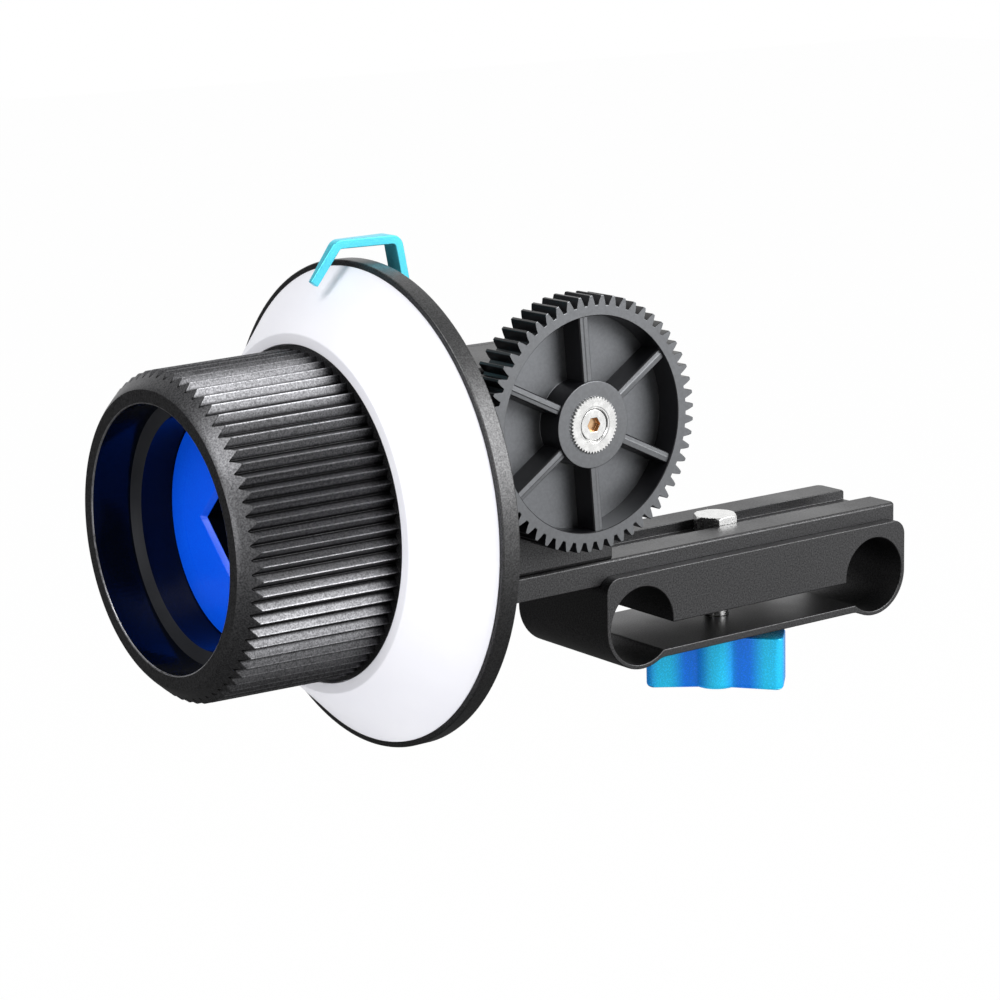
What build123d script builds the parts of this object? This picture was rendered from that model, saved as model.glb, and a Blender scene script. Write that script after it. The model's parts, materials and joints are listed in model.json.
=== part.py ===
from build123d import *
from math import acos, cos, pi, radians, sin, sqrt, tan
import os

# Follow focus unit for a pair of support rods. Millimetres, +Z up. The rods run along Y.
# The origin is midway between the two rod axes, in the front face of the rod clamp.
# +X runs along the arm, away from the hand knob; the knob turns about an axis along X.

# Rod clamp
rod_diameter = 15.0
rod_spacing = 60.0
rod_clearance = 0.05
clamp_length = 28.0
clamp_wall = 0.9
clamp_top = 10.2
clamp_corner = 3.0
jaw_face = -0.6
jaw_gap = 5.0
plate_thickness = 1.5
plate_blend = 4.0
channel_depth = 1.6

# Clamp bolt, washer and thumb knob
bolt_radius = 2.5
bolt_hole_clearance = 0.15
bolt_head_flats = 8.0
bolt_head_height = 3.5
bolt_head_bevel = 0.5
bolt_reach = 9.4
thread_clearance = 0.05
washer_radius = 6.0
washer_thickness = 1.0
thumb_boss_radius = 5.2
thumb_boss_height = 1.4
thumb_height = 10.7
thumb_length = 27.4
thumb_end_width = 9.4
thumb_waist = 5.6
thumb_corner = 1.6
thumb_edge = 0.6
thumb_turn = -45.0
thumb_bulge_radius = 4.8
thumb_bore_end = 1.6
thumb_bore_shoulder = 0.6
insert_radius = 4.0
insert_length = 7.5

# Arm bar, which slides in the channel of the clamp
arm_width = 23.0
arm_thickness = 4.7
arm_length = 111.0
arm_right = 38.5
arm_corner = 1.5
arm_edge = 0.4
slide_clearance = 0.1
head_slot_depth = 2.0
head_slot_start = -34.0
bolt_slot_start = -29.0
bolt_slot_end = 32.0
slot_clearance = 0.2
arm_screw_radius = 2.0
arm_screw_head = 4.0
arm_screw_engagement = 2.6
arm_screw_inset = 7.5

# Gearbox
box_length = 37.8
box_height = 39.9
box_wall = 3.0
bearing_wall = 6.0
cover_thickness = 2.5
box_edge = 0.6
post_size = 6.2
neck_radius = 11.0
neck_length = 5.5
cover_screw_radius = 1.25
cover_screw_head = 2.4
cover_screw_length = 8.0
cover_boss_radius = 6.0
cover_boss_height = 1.0
cover_skin = 0.5
shaft_bore_clearance = 0.6

# Axes: the knob axis lies along X, and the idler and the output axes along Y
knob_axis_height = 15.9
output_inset = 26.6
running_clearance = 0.03
end_float = 0.2

# Gear train
pressure_angle = 20.0
mitre_teeth = 18
mitre_module = 0.6
mitre_face = 2.6
mitre_hub_radius = 4.5
mitre_hub_end = 10.1
idler_hub_radius = 4.0
spur_teeth = 25
spur_module = 0.5
spur_thickness = 2.0
spur_tooth_share = 0.46
mitre_tooth_share = 0.42
mitre_addendum_share = 0.9
dedendum_share = 1.25

# Shafts, bushes and clips
knob_shaft_radius = 4.0
knob_spigot_radius = 2.0
spigot_overrun = 0.2
idler_shaft_radius = 2.0
output_shaft_radius = 3.0
knob_bush_radius = 6.5
knob_bush_length = 7.5
inner_bush_depth = 3.0
inner_bush_flange_radius = 7.5
inner_bush_flange = 1.0
output_bush_radius = 4.5
output_flange_radius = 6.5
output_flange = 0.8
clip_thickness = 0.8
clip_groove = 0.6
clip_rim = 2.0
clip_mouth_share = 1.5
grub_radius = 1.25
grub_socket_flats = 1.3

# Hand knob
knob_length = 29.9
lip_outer_radius = 26.2
lip_inner_radius = 23.5
knob_chamfer_length = 3.2
ridge_count = 72
ridge_depth = 1.25
ridge_front_radius = 29.0
ridge_back_radius = 29.6
bore_step_depth = 7.7
bore_step_bevel = 0.9
bore_step_radius = 21.1
knob_floor_thickness = 3.0
knob_rear_wall = 3.2

# Crank socket in the knob
socket_disc_radius = 21.05
socket_disc_thickness = 3.0
socket_disc_depth = 14.7
socket_boss_radius = 10.5
socket_boss_length = 9.0
socket_depth = 9.0
socket_side = 14.1
socket_mouth_side = 15.8
socket_chamfer_depth = 0.85
boss_clearance = 0.1

# Marking dial and its back plate
dial_collar_radius = 32.3
dial_collar_width = 2.0
dial_overlap = 0.2
dial_gap = 1.0
dial_depth = 11.2
dial_rim_radius = 43.2
dial_wall = 2.0
plate_radius = 44.2
plate_width = 3.5
plate_edge = 0.4
hub_radius = 16.0
rear_hub_radius = 11.0
rear_hub_length = 1.7
thrust_washer_thickness = 0.75
thrust_gap = 0.05
hub_screw_circle = 13.3
hub_screw_count = 4
hub_screw_radius = 1.25
hub_screw_head = 2.3
hub_screw_length = 9.0
hub_pin_radius = 1.5
hub_pin_inset = 1.0

# Drive gear and its fastening
gear_teeth = 57
gear_module = 0.8
gear_tooth_share = 0.47
gear_width = 7.4
gear_gap = 1.3
gear_rim_radius = 19.9
gear_web = 2.0
gear_hub_radius = 8.0
rib_count = 6
rib_width = 2.0
rib_drop = 0.5
rib_first_angle = 34.0
spacer_radius = 5.0
nut_radius = 5.3
nut_height = 0.4
nut_serration_count = 48
nut_serration_depth = 0.35
nut_spigot_radius = 4.0
nut_spigot_length = 2.0
gear_screw_head_radius = 2.85
gear_screw_head_height = 1.6
gear_screw_radius = 1.5
gear_screw_length = 8.0
gear_screw_sink = 0.2
gear_screw_clearance = 0.15
gear_socket_flats = 2.5
gear_socket_depth = 1.0

# Hexagon sockets of the small screws, as shares of the head's radius
socket_share = 0.45
socket_sink = 0.4

# Pointer over the dial
pointer_width = 4.0
pointer_tip_width = 0.9
pointer_thickness = 1.6
pointer_foot_rise = 30.2
pointer_knee_drop = 8.2
pointer_lean = 1.5
pointer_top_gap = 2.3
pointer_bend = 1.5
pointer_top_reach = 13.5
pointer_tip_run = 5.0
pointer_tip_drop = 6.6
pointer_screw_radius = 1.0
pointer_screw_head_radius = 1.8
pointer_screw_head_height = 1.0
pointer_screw_length = 5.5
pointer_screw_inset = 1.9
pointer_screw_pitch = 5.0

# Places worked out from the sizes above
axis_y = clamp_length / 2
bore_radius = rod_diameter / 2 + rod_clearance
clamp_radius = bore_radius + clamp_wall
clamp_half = rod_spacing / 2 + clamp_radius
plate_top = jaw_face - jaw_gap
plate_bottom = plate_top - plate_thickness
bolt_hole_radius = bolt_radius + bolt_hole_clearance
arm_bottom = clamp_top - channel_depth
arm_top = arm_bottom + arm_thickness
arm_left = arm_right - arm_length
head_slot_floor = arm_top - head_slot_depth
washer_bottom = plate_bottom - washer_thickness
thumb_top = washer_bottom - thumb_boss_height
bolt_end = washer_bottom - bolt_reach
box_left = arm_left
box_right = box_left + box_length
box_top = arm_top + box_height
box_front = axis_y - arm_width / 2
box_back = axis_y + arm_width / 2
cover_front = box_back - cover_thickness
inner_front = box_front + box_wall
inner_left = box_left + bearing_wall
knob_z = arm_top + knob_axis_height
output_x = box_left + output_inset
shaft_distance = spur_module * spur_teeth
output_z = knob_z + shaft_distance
neck_face = box_left - neck_length
spur_front = inner_front + end_float
spur_back = spur_front + spur_thickness
cover_boss_front = cover_front - cover_boss_height
gear_back = box_front - gear_gap
gear_front = gear_back - gear_width
nut_front = gear_front - nut_height
shaft_front = gear_front + nut_spigot_length
thrust_back = neck_face - thrust_gap
hub_back = thrust_back - thrust_washer_thickness
plate_back = hub_back - rear_hub_length
plate_front = plate_back - plate_width
dial_front = plate_front - dial_depth
knob_back = dial_front + dial_overlap
knob_front = knob_back - knob_length
step_x = knob_front + bore_step_depth
disc_front = knob_front + socket_disc_depth
floor_front = disc_front + socket_disc_thickness
floor_back = floor_front + knob_floor_thickness
boss_end = floor_front + socket_boss_length
mitre_radius = mitre_module * mitre_teeth / 2
mitre_addendum = mitre_addendum_share * mitre_module / sqrt(2)
mitre_dedendum = dedendum_share * mitre_module / sqrt(2)
spigot_start = output_x - mitre_hub_end
toe_distance = mitre_radius - mitre_face * cos(pi / 4)
spigot_end = output_x - toe_distance - spigot_overrun

knob_bore_radius = knob_shaft_radius + running_clearance
output_bore_radius = output_shaft_radius + running_clearance
idler_bore_radius = idler_shaft_radius + running_clearance

knob_axis = Axis((0, axis_y, knob_z), (1, 0, 0))
knob_section = Plane(origin=(0, axis_y, knob_z), x_dir=(1, 0, 0), z_dir=(0, -1, 0))
from_top = (Align.CENTER, Align.CENTER, Align.MAX)
from_bottom = (Align.CENTER, Align.CENTER, Align.MIN)


# An upright plane across the rods. Its normal points to the front, and its x is +X.
def facing_front(y, x=0.0, z=0.0):
    return Plane(origin=(x, y, z), x_dir=(1, 0, 0), z_dir=(0, -1, 0))


# An upright plane across the knob axis. Its normal points along +X, and its x is +Y.
def facing_right(x):
    return Plane(origin=(x, axis_y, knob_z), x_dir=(0, 1, 0), z_dir=(1, 0, 0))


# A flat ring, used for bushes, washers and spacers.
def ring(plane, outer_radius, inner_radius):
    with BuildSketch(plane) as face:
        Circle(outer_radius)
        Circle(inner_radius, mode=Mode.SUBTRACT)
    return face.sketch


# A retaining clip: a ring with an open side, seated in the groove of its shaft.
def clip_ring(plane, shaft_radius):
    with BuildSketch(plane) as face:
        Circle(shaft_radius + clip_rim)
        Circle(shaft_radius - clip_groove, mode=Mode.SUBTRACT)
        with Locations((0, -shaft_radius)):
            Rectangle(clip_mouth_share * shaft_radius, 2 * shaft_radius, mode=Mode.SUBTRACT)
    return face.sketch


# A screw without its driving recess. The seat's normal points out of the work.
def countersunk_blank(seat, head_radius, shank_radius, length):
    with BuildPart(seat) as blank:
        Cylinder(shank_radius, length, align=from_top)
        Cone(shank_radius, head_radius, head_radius - shank_radius, align=from_top)
    return blank.part


def cheese_head_blank(seat, head_radius, head_height, shank_radius, length):
    with BuildPart(seat) as blank:
        Cylinder(shank_radius, length, align=from_top)
        Cylinder(head_radius, head_height, align=from_bottom)
    return blank.part


# Half the angle that an involute tooth takes up at a radius.
def tooth_half_angle(teeth, module, share, radius):
    pitch_radius = module * teeth / 2
    base_radius = pitch_radius * cos(radians(pressure_angle))
    flank = acos(min(1.0, base_radius / radius))
    pitch_flank = radians(pressure_angle)
    return share * pi / teeth + tan(pitch_flank) - pitch_flank - tan(flank) + flank


# The outline of a spur gear, with a tooth pointing along local y. Each flank runs through the
# involute at the heights given in modules from the pitch circle.
def gear_outline(teeth, module, share, heights):
    pitch_radius = module * teeth / 2
    points = []
    for tooth in range(teeth):
        centre = pi / 2 + 2 * pi * tooth / teeth
        flank = []
        for height in heights:
            radius = pitch_radius + height * module
            flank.append((radius, tooth_half_angle(teeth, module, share, radius)))
        for radius, half in flank:
            points.append((radius * cos(centre - half), radius * sin(centre - half)))
        for radius, half in reversed(flank):
            points.append((radius * cos(centre + half), radius * sin(centre + half)))
    return points


# Tips and valleys of a ridged round, with a tip at the given angle.
def ridge_outline(count, tip_radius, depth):
    points = []
    for ridge in range(count):
        angle = 2 * pi * ridge / count
        points.append((tip_radius * cos(angle), tip_radius * sin(angle)))
        angle += pi / count
        points.append(((tip_radius - depth) * cos(angle), (tip_radius - depth) * sin(angle)))
    return points


# The section of a mitre gear's teeth square to its axis, at a distance from the apex. The teeth
# stand on a 45 degree pitch cone and end in planes square to the axis.
def mitre_outline(distance, first_angle):
    half_pitch_width = mitre_tooth_share * pi * mitre_module / 2
    slope = sqrt(2) * tan(radians(pressure_angle))
    corners = []
    for rise in (-mitre_dedendum, mitre_addendum):
        radius = (mitre_radius + rise) * distance / (mitre_radius - rise)
        corners.append((radius, (half_pitch_width - rise * slope) / (mitre_radius + rise)))
    points = []
    for tooth in range(mitre_teeth):
        centre = first_angle + 2 * pi * tooth / mitre_teeth
        for radius, half in corners:
            points.append((radius * cos(centre - half), radius * sin(centre - half)))
        for radius, half in reversed(corners):
            points.append((radius * cos(centre + half), radius * sin(centre + half)))
    return points


# A mitre gear without its bore, on a plane through the apex whose normal points to the gear
def mitre_blank(apex, first_angle, gear_hub, hub_end):
    with BuildPart() as blank:
        for distance in (toe_distance, mitre_radius):
            with BuildSketch(apex.offset(distance)):
                with BuildLine():
                    Polyline(*mitre_outline(distance, first_angle), close=True)
                make_face()
        loft(ruled=True)
        with BuildSketch(apex.offset(mitre_radius)):
            Circle(gear_hub)
        extrude(amount=hub_end - mitre_radius)
    return blank.part


os.makedirs("parts", exist_ok=True)

# Places of the screws
arm_screw_seats = [
    Plane(origin=(x, axis_y, arm_bottom), x_dir=(1, 0, 0), z_dir=(0, 0, -1))
    for x in (box_left + arm_screw_inset, box_right - arm_screw_inset)
]
arm_screw_length = arm_thickness + arm_screw_engagement
cover_screw_seats = [
    Plane(origin=(x, box_back, z), x_dir=(1, 0, 0), z_dir=(0, 1, 0))
    for x in (box_left + post_size / 2, box_right - post_size / 2)
    for z in (arm_top + post_size / 2, box_top - post_size / 2)
]
pointer_back = box_left - pointer_thickness
pointer_foot = arm_top + pointer_foot_rise
pointer_screw_seats = [
    Plane(origin=(pointer_back, axis_y, z), x_dir=(0, 1, 0), z_dir=(-1, 0, 0))
    for z in (pointer_foot + pointer_screw_inset, pointer_foot + pointer_screw_inset + pointer_screw_pitch)
]
hub_screw_seats = [
    Plane(
        origin=(
            floor_front,
            axis_y + hub_screw_circle * cos(pi / 4 + 2 * pi * n / hub_screw_count),
            knob_z + hub_screw_circle * sin(pi / 4 + 2 * pi * n / hub_screw_count),
        ),
        x_dir=(0, 1, 0),
        z_dir=(-1, 0, 0),
    )
    for n in range(hub_screw_count)
]
arm_screw_blanks = [
    countersunk_blank(seat, arm_screw_head, arm_screw_radius, arm_screw_length) for seat in arm_screw_seats
]
cover_screw_blanks = [
    countersunk_blank(seat, cover_screw_head, cover_screw_radius, cover_screw_length)
    for seat in cover_screw_seats
]
pointer_screw_blanks = [
    cheese_head_blank(
        seat, pointer_screw_head_radius, pointer_screw_head_height, pointer_screw_radius, pointer_screw_length
    )
    for seat in pointer_screw_seats
]
hub_screw_blanks = [
    countersunk_blank(seat, hub_screw_head, hub_screw_radius, hub_screw_length) for seat in hub_screw_seats
]

# ---- Rod clamp -------------------------------------------------------------------------------

# One drawn profile: a thick upper jaw, two thin rings round the rods and a springy lower plate
with BuildPart() as clamp:
    with BuildSketch(facing_front(clamp_length)) as clamp_profile:
        with Locations((0, clamp_top / 2)):
            Rectangle(2 * clamp_half, clamp_top)
        fillet(clamp_profile.vertices().group_by(Axis.Y)[-1], clamp_corner)
        with Locations((-rod_spacing / 2, 0), (rod_spacing / 2, 0)):
            Circle(clamp_radius)
        with Locations((0, jaw_face / 2)):
            Rectangle(rod_spacing, -jaw_face)
        with Locations((0, (plate_top + plate_bottom) / 2)):
            Rectangle(rod_spacing, plate_thickness)
        fillet(clamp_profile.vertices().group_by(Axis.Y)[0], plate_blend)
        with Locations((-rod_spacing / 2, 0), (rod_spacing / 2, 0)):
            Circle(bore_radius, mode=Mode.SUBTRACT)
        with Locations((0, (jaw_face + plate_top) / 2)):
            Rectangle(rod_spacing, jaw_gap, mode=Mode.SUBTRACT)
    extrude(amount=clamp_length)
    with BuildSketch(Plane.XY.offset(arm_bottom)):
        with Locations((0, axis_y)):
            Rectangle(2 * clamp_half, arm_width + 2 * slide_clearance)
    extrude(amount=channel_depth, mode=Mode.SUBTRACT)
    with Locations((0, axis_y, arm_bottom)):
        Hole(bolt_hole_radius)
clamp.part.label = "clamp"
export_step(clamp.part, "parts/clamp.step")

# Hexagon head in the slot of the arm, flats along the slot
with BuildPart() as clamp_bolt:
    with BuildSketch(Plane.XY.offset(head_slot_floor)):
        with Locations((0, axis_y)):
            RegularPolygon(bolt_head_flats / 2, 6, major_radius=False)
    extrude(amount=bolt_head_height)
    bolt_corner_radius = bolt_head_flats / 2 / cos(pi / 6)
    with Locations((0, axis_y, head_slot_floor)):
        Cone(
            bolt_corner_radius + bolt_head_height,
            bolt_corner_radius - bolt_head_bevel,
            bolt_head_height,
            align=from_bottom,
            mode=Mode.INTERSECT,
        )
    with BuildSketch(Plane.XY.offset(bolt_end)):
        with Locations((0, axis_y)):
            Circle(bolt_radius)
    extrude(amount=head_slot_floor - bolt_end)
clamp_bolt.part.label = "clamp_bolt"
export_step(clamp_bolt.part, "parts/clamp_bolt.step")

washer_plane = Plane(origin=(0, axis_y, washer_bottom))
with BuildPart() as clamp_washer:
    extrude(ring(washer_plane, washer_radius, bolt_hole_radius), amount=washer_thickness)
clamp_washer.part.label = "clamp_washer"
export_step(clamp_washer.part, "parts/clamp_washer.step")

# Two wings that widen outwards from a round middle, with a round boss under the washer
thumb_plane = Plane(origin=(0, axis_y, thumb_top)).rotated((0, 0, thumb_turn))
with BuildPart() as thumb_knob:
    with BuildSketch(thumb_plane) as wings:
        with BuildLine():
            Polyline(
                (-thumb_length / 2, thumb_end_width / 2),
                (0, thumb_waist / 2),
                (thumb_length / 2, thumb_end_width / 2),
                (thumb_length / 2, -thumb_end_width / 2),
                (0, -thumb_waist / 2),
                (-thumb_length / 2, -thumb_end_width / 2),
                close=True,
            )
        make_face()
        fillet(wings.vertices().group_by(Axis.X)[0] + wings.vertices().group_by(Axis.X)[-1], thumb_corner)
        Circle(thumb_bulge_radius)
    extrude(amount=-thumb_height)
    chamfer(thumb_knob.faces().sort_by(Axis.Z)[0].edges(), thumb_edge)
    with BuildSketch(thumb_plane):
        Circle(thumb_boss_radius)
    extrude(amount=thumb_boss_height)
    with Locations((0, axis_y, washer_bottom)):
        Cylinder(insert_radius, insert_length, align=from_top, mode=Mode.SUBTRACT)
        thumb_bore_radius = insert_radius - thumb_bore_shoulder
        Cylinder(thumb_bore_radius, bolt_reach + thumb_bore_end, align=from_top, mode=Mode.SUBTRACT)
thumb_knob.part.label = "thumb_knob"
export_step(thumb_knob.part, "parts/thumb_knob.step")

with BuildPart() as thumb_knob_insert:
    extrude(ring(washer_plane, insert_radius, bolt_radius + thread_clearance), amount=-insert_length)
thumb_knob_insert.part.label = "thumb_knob_insert"
export_step(thumb_knob_insert.part, "parts/thumb_knob_insert.step")

# ---- Arm and gearbox -------------------------------------------------------------------------

head_slot_width = bolt_head_flats + slot_clearance
bolt_slot_width = 2 * bolt_radius + 2 * slot_clearance
with BuildPart() as arm_bar:
    with BuildSketch(Plane.XY.offset(arm_bottom)) as arm_plan:
        with Locations(((arm_left + arm_right) / 2, axis_y)):
            Rectangle(arm_length, arm_width)
        fillet(arm_plan.vertices().group_by(Axis.X)[-1], arm_corner)
    extrude(amount=arm_thickness)
    chamfer(arm_bar.faces().sort_by(Axis.Z)[-1].edges(), arm_edge)
    head_slot_centre = head_slot_start + head_slot_width / 2
    with BuildSketch(Plane.XY.offset(head_slot_floor)):
        with Locations(((head_slot_centre + arm_right) / 2, axis_y)):
            Rectangle(arm_right - head_slot_centre, head_slot_width)
        with Locations((head_slot_centre, axis_y)):
            Circle(head_slot_width / 2)
    extrude(amount=head_slot_depth, mode=Mode.SUBTRACT)
    with BuildSketch(Plane.XY.offset(arm_bottom)):
        with Locations(((bolt_slot_start + bolt_slot_end) / 2, axis_y)):
            SlotCenterToCenter(bolt_slot_end - bolt_slot_start - bolt_slot_width, bolt_slot_width)
    extrude(amount=arm_thickness - head_slot_depth, mode=Mode.SUBTRACT)
    for screw_blank in arm_screw_blanks:
        add(screw_blank, mode=Mode.SUBTRACT)
arm_bar.part.label = "arm_bar"
export_step(arm_bar.part, "parts/arm_bar.step")

# A box open at the back, with a thick end wall and a round neck that carry the knob's bushes
with BuildPart() as gearbox_housing:
    with BuildSketch(facing_front(cover_front)):
        with Locations(((box_left + box_right) / 2, (arm_top + box_top) / 2)):
            Rectangle(box_length, box_height)
    extrude(amount=cover_front - box_front)
    chamfer(gearbox_housing.faces().sort_by(Axis.Y)[0].edges(), box_edge)
    with BuildSketch(facing_right(neck_face)):
        Circle(neck_radius)
    extrude(amount=neck_length)
    with BuildSketch(facing_front(cover_front)):
        with Locations(((inner_left + box_right - box_wall) / 2, (arm_top + box_top) / 2)):
            Rectangle(box_right - box_wall - inner_left, box_height - 2 * box_wall)
        for x in (box_left + post_size / 2, box_right - post_size / 2):
            for z in (arm_top + post_size / 2, box_top - post_size / 2):
                with Locations((x, z)):
                    Rectangle(post_size, post_size, mode=Mode.SUBTRACT)
    extrude(amount=cover_front - inner_front, mode=Mode.SUBTRACT)
    with BuildSketch(facing_right(neck_face)):
        Circle(knob_shaft_radius + shaft_bore_clearance)
    extrude(amount=neck_length + bearing_wall, mode=Mode.SUBTRACT)
    with BuildSketch(facing_right(neck_face)):
        Circle(knob_bush_radius)
    extrude(amount=knob_bush_length, mode=Mode.SUBTRACT)
    with BuildSketch(facing_right(inner_left)):
        Circle(knob_bush_radius)
    extrude(amount=-inner_bush_depth, mode=Mode.SUBTRACT)
    with BuildSketch(facing_front(inner_front, output_x, output_z)):
        Circle(output_bush_radius)
    extrude(amount=box_wall, mode=Mode.SUBTRACT)
    with BuildSketch(facing_front(inner_front, output_x, knob_z)):
        Circle(idler_bore_radius)
    extrude(amount=box_wall - cover_skin, mode=Mode.SUBTRACT)
    for screw_blank in arm_screw_blanks + cover_screw_blanks + pointer_screw_blanks:
        add(screw_blank, mode=Mode.SUBTRACT)
gearbox_housing.part.label = "gearbox_housing"
export_step(gearbox_housing.part, "parts/gearbox_housing.step")

with BuildPart() as gearbox_cover:
    with BuildSketch(facing_front(box_back)):
        with Locations(((box_left + box_right) / 2, (arm_top + box_top) / 2)):
            Rectangle(box_length, box_height)
    extrude(amount=cover_thickness)
    chamfer(gearbox_cover.faces().sort_by(Axis.Y)[-1].edges(), box_edge)
    with BuildSketch(facing_front(cover_front)):
        with Locations((output_x, knob_z), (output_x, output_z)):
            Circle(cover_boss_radius)
    extrude(amount=cover_boss_height)
    with BuildSketch(facing_front(box_back - cover_skin)):
        with Locations((output_x, knob_z)):
            Circle(idler_bore_radius)
        with Locations((output_x, output_z)):
            Circle(output_bore_radius)
    extrude(amount=box_back - cover_skin - cover_boss_front, mode=Mode.SUBTRACT)
    for screw_blank in cover_screw_blanks:
        add(screw_blank, mode=Mode.SUBTRACT)
gearbox_cover.part.label = "gearbox_cover"
export_step(gearbox_cover.part, "parts/gearbox_cover.step")

# Small screws, each with a hexagon socket
socketed_screws = (
    ("arm_screw", arm_screw_seats, arm_screw_blanks, arm_screw_head, 0.0),
    ("cover_screw", cover_screw_seats, cover_screw_blanks, cover_screw_head, 0.0),
    ("pointer_screw", pointer_screw_seats, pointer_screw_blanks, pointer_screw_head_radius,
     pointer_screw_head_height),
    ("hub_screw", hub_screw_seats, hub_screw_blanks, hub_screw_head, 0.0),
)
for screw_name, seats, blanks, head_radius, head_rise in socketed_screws:
    for number, (seat, blank) in enumerate(zip(seats, blanks), start=1):
        with BuildPart() as screw:
            add(blank)
            with BuildSketch(seat.offset(head_rise)):
                RegularPolygon(socket_share * head_radius, 6)
            extrude(amount=-socket_sink * head_radius, mode=Mode.SUBTRACT)
        screw.part.label = f"{screw_name}_{number}"
        export_step(screw.part, f"parts/{screw_name}_{number}.step")

# ---- Bushes ----------------------------------------------------------------------------------

with BuildPart() as knob_bush_outer:
    extrude(ring(facing_right(neck_face), knob_bush_radius, knob_bore_radius), amount=knob_bush_length)
knob_bush_outer.part.label = "knob_bush_outer"
export_step(knob_bush_outer.part, "parts/knob_bush_outer.step")

with BuildPart() as knob_bush_inner:
    bush_start = facing_right(inner_left - inner_bush_depth)
    extrude(ring(bush_start, knob_bush_radius, knob_bore_radius), amount=inner_bush_depth)
    flange_start = facing_right(inner_left)
    extrude(ring(flange_start, inner_bush_flange_radius, knob_bore_radius), amount=inner_bush_flange)
knob_bush_inner.part.label = "knob_bush_inner"
export_step(knob_bush_inner.part, "parts/knob_bush_inner.step")

with BuildPart() as output_bush:
    bush_plane = facing_front(inner_front, output_x, output_z)
    extrude(ring(bush_plane, output_bush_radius, output_bore_radius), amount=box_wall)
    flange_plane = facing_front(box_front, output_x, output_z)
    extrude(ring(flange_plane, output_flange_radius, output_bore_radius), amount=output_flange)
output_bush.part.label = "output_bush"
export_step(output_bush.part, "parts/output_bush.step")

# ---- Pointer ---------------------------------------------------------------------------------

# A bent strip: up the end of the gearbox, over the rim of the dial and down in front of its cone.
# Seen from above it narrows to a fine tip.
pointer_leg_x = box_left - pointer_thickness / 2
pointer_top_z = knob_z + plate_radius + pointer_top_gap + pointer_thickness / 2
pointer_turn_x = pointer_leg_x - pointer_lean
pointer_top_x = pointer_leg_x - pointer_top_reach
pointer_tip_x = pointer_top_x - pointer_tip_run
pointer_tip_z = pointer_top_z - pointer_tip_drop
with BuildPart() as pointer:
    with BuildSketch(facing_front(axis_y + pointer_width / 2)):
        with BuildLine():
            FilletPolyline(
                (pointer_leg_x, pointer_foot),
                (pointer_leg_x, pointer_top_z - pointer_knee_drop),
                (pointer_turn_x, pointer_top_z),
                (pointer_top_x, pointer_top_z),
                (pointer_tip_x, pointer_tip_z),
                radius=pointer_bend,
            )
        trace(line_width=pointer_thickness)
    extrude(amount=pointer_width)
    pointer_end_x = pointer_tip_x - pointer_thickness
    with BuildSketch(Plane(origin=(0, axis_y, pointer_foot))):
        with BuildLine():
            Polyline(
                (box_left, -pointer_width / 2),
                (box_left, pointer_width / 2),
                (pointer_turn_x, pointer_width / 2),
                (pointer_end_x, pointer_tip_width / 2),
                (pointer_end_x, -pointer_tip_width / 2),
                (pointer_turn_x, -pointer_width / 2),
                close=True,
            )
        make_face()
    extrude(amount=pointer_top_z + pointer_thickness - pointer_foot, mode=Mode.INTERSECT)
    for screw_blank in pointer_screw_blanks:
        add(screw_blank, mode=Mode.SUBTRACT)
pointer.part.label = "pointer"
export_step(pointer.part, "parts/pointer.step")

# ---- Hand knob, dial and knob shaft ----------------------------------------------------------

with BuildPart() as hand_knob:
    for x, tip_radius in ((knob_front, ridge_front_radius), (knob_back, ridge_back_radius)):
        with BuildSketch(facing_right(x)):
            with BuildLine():
                Polyline(*ridge_outline(ridge_count, tip_radius, ridge_depth), close=True)
            make_face()
    loft(ruled=True)
    chamfer_slope = (ridge_front_radius - lip_outer_radius) / knob_chamfer_length
    envelope_radius = ridge_back_radius + ridge_depth
    envelope_x = knob_front + (envelope_radius - lip_outer_radius) / chamfer_slope
    with BuildSketch(knob_section):
        with BuildLine():
            Polyline(
                (knob_front, 0),
                (knob_front, lip_outer_radius),
                (envelope_x, envelope_radius),
                (knob_back, envelope_radius),
                (knob_back, 0),
                close=True,
            )
        make_face()
    revolve(axis=knob_axis, mode=Mode.INTERSECT)
    rear_recess_radius = ridge_back_radius - ridge_depth - knob_rear_wall
    with BuildSketch(knob_section):
        with BuildLine():
            Polyline(
                (knob_front, 0),
                (knob_front, lip_inner_radius),
                (step_x, lip_inner_radius),
                (step_x + bore_step_bevel, bore_step_radius),
                (floor_front, bore_step_radius),
                (floor_front, socket_boss_radius + boss_clearance),
                (floor_back, socket_boss_radius + boss_clearance),
                (floor_back, rear_recess_radius),
                (knob_back, rear_recess_radius),
                (knob_back, 0),
                close=True,
            )
        make_face()
    revolve(axis=knob_axis, mode=Mode.SUBTRACT)
    for screw_blank in hub_screw_blanks:
        add(screw_blank, mode=Mode.SUBTRACT)
hand_knob.part.label = "hand_knob"
export_step(hand_knob.part, "parts/hand_knob.step")

# A disc with a boss behind it and a square hole for a crank, standing on its corner
with BuildPart() as crank_socket:
    with BuildSketch(facing_right(disc_front)):
        Circle(socket_disc_radius)
    extrude(amount=socket_disc_thickness)
    with BuildSketch(facing_right(floor_front)):
        Circle(socket_boss_radius)
    extrude(amount=socket_boss_length)
    with BuildSketch(facing_right(disc_front)):
        Rectangle(socket_side, socket_side, rotation=45)
    extrude(amount=socket_depth, mode=Mode.SUBTRACT)
    with BuildSketch(facing_right(disc_front)):
        Rectangle(socket_mouth_side, socket_mouth_side, rotation=45)
    with BuildSketch(facing_right(disc_front + socket_chamfer_depth)):
        Rectangle(socket_side, socket_side, rotation=45)
    loft(ruled=True, mode=Mode.SUBTRACT)
crank_socket.part.label = "crank_socket"
export_step(crank_socket.part, "parts/crank_socket.step")

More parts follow.
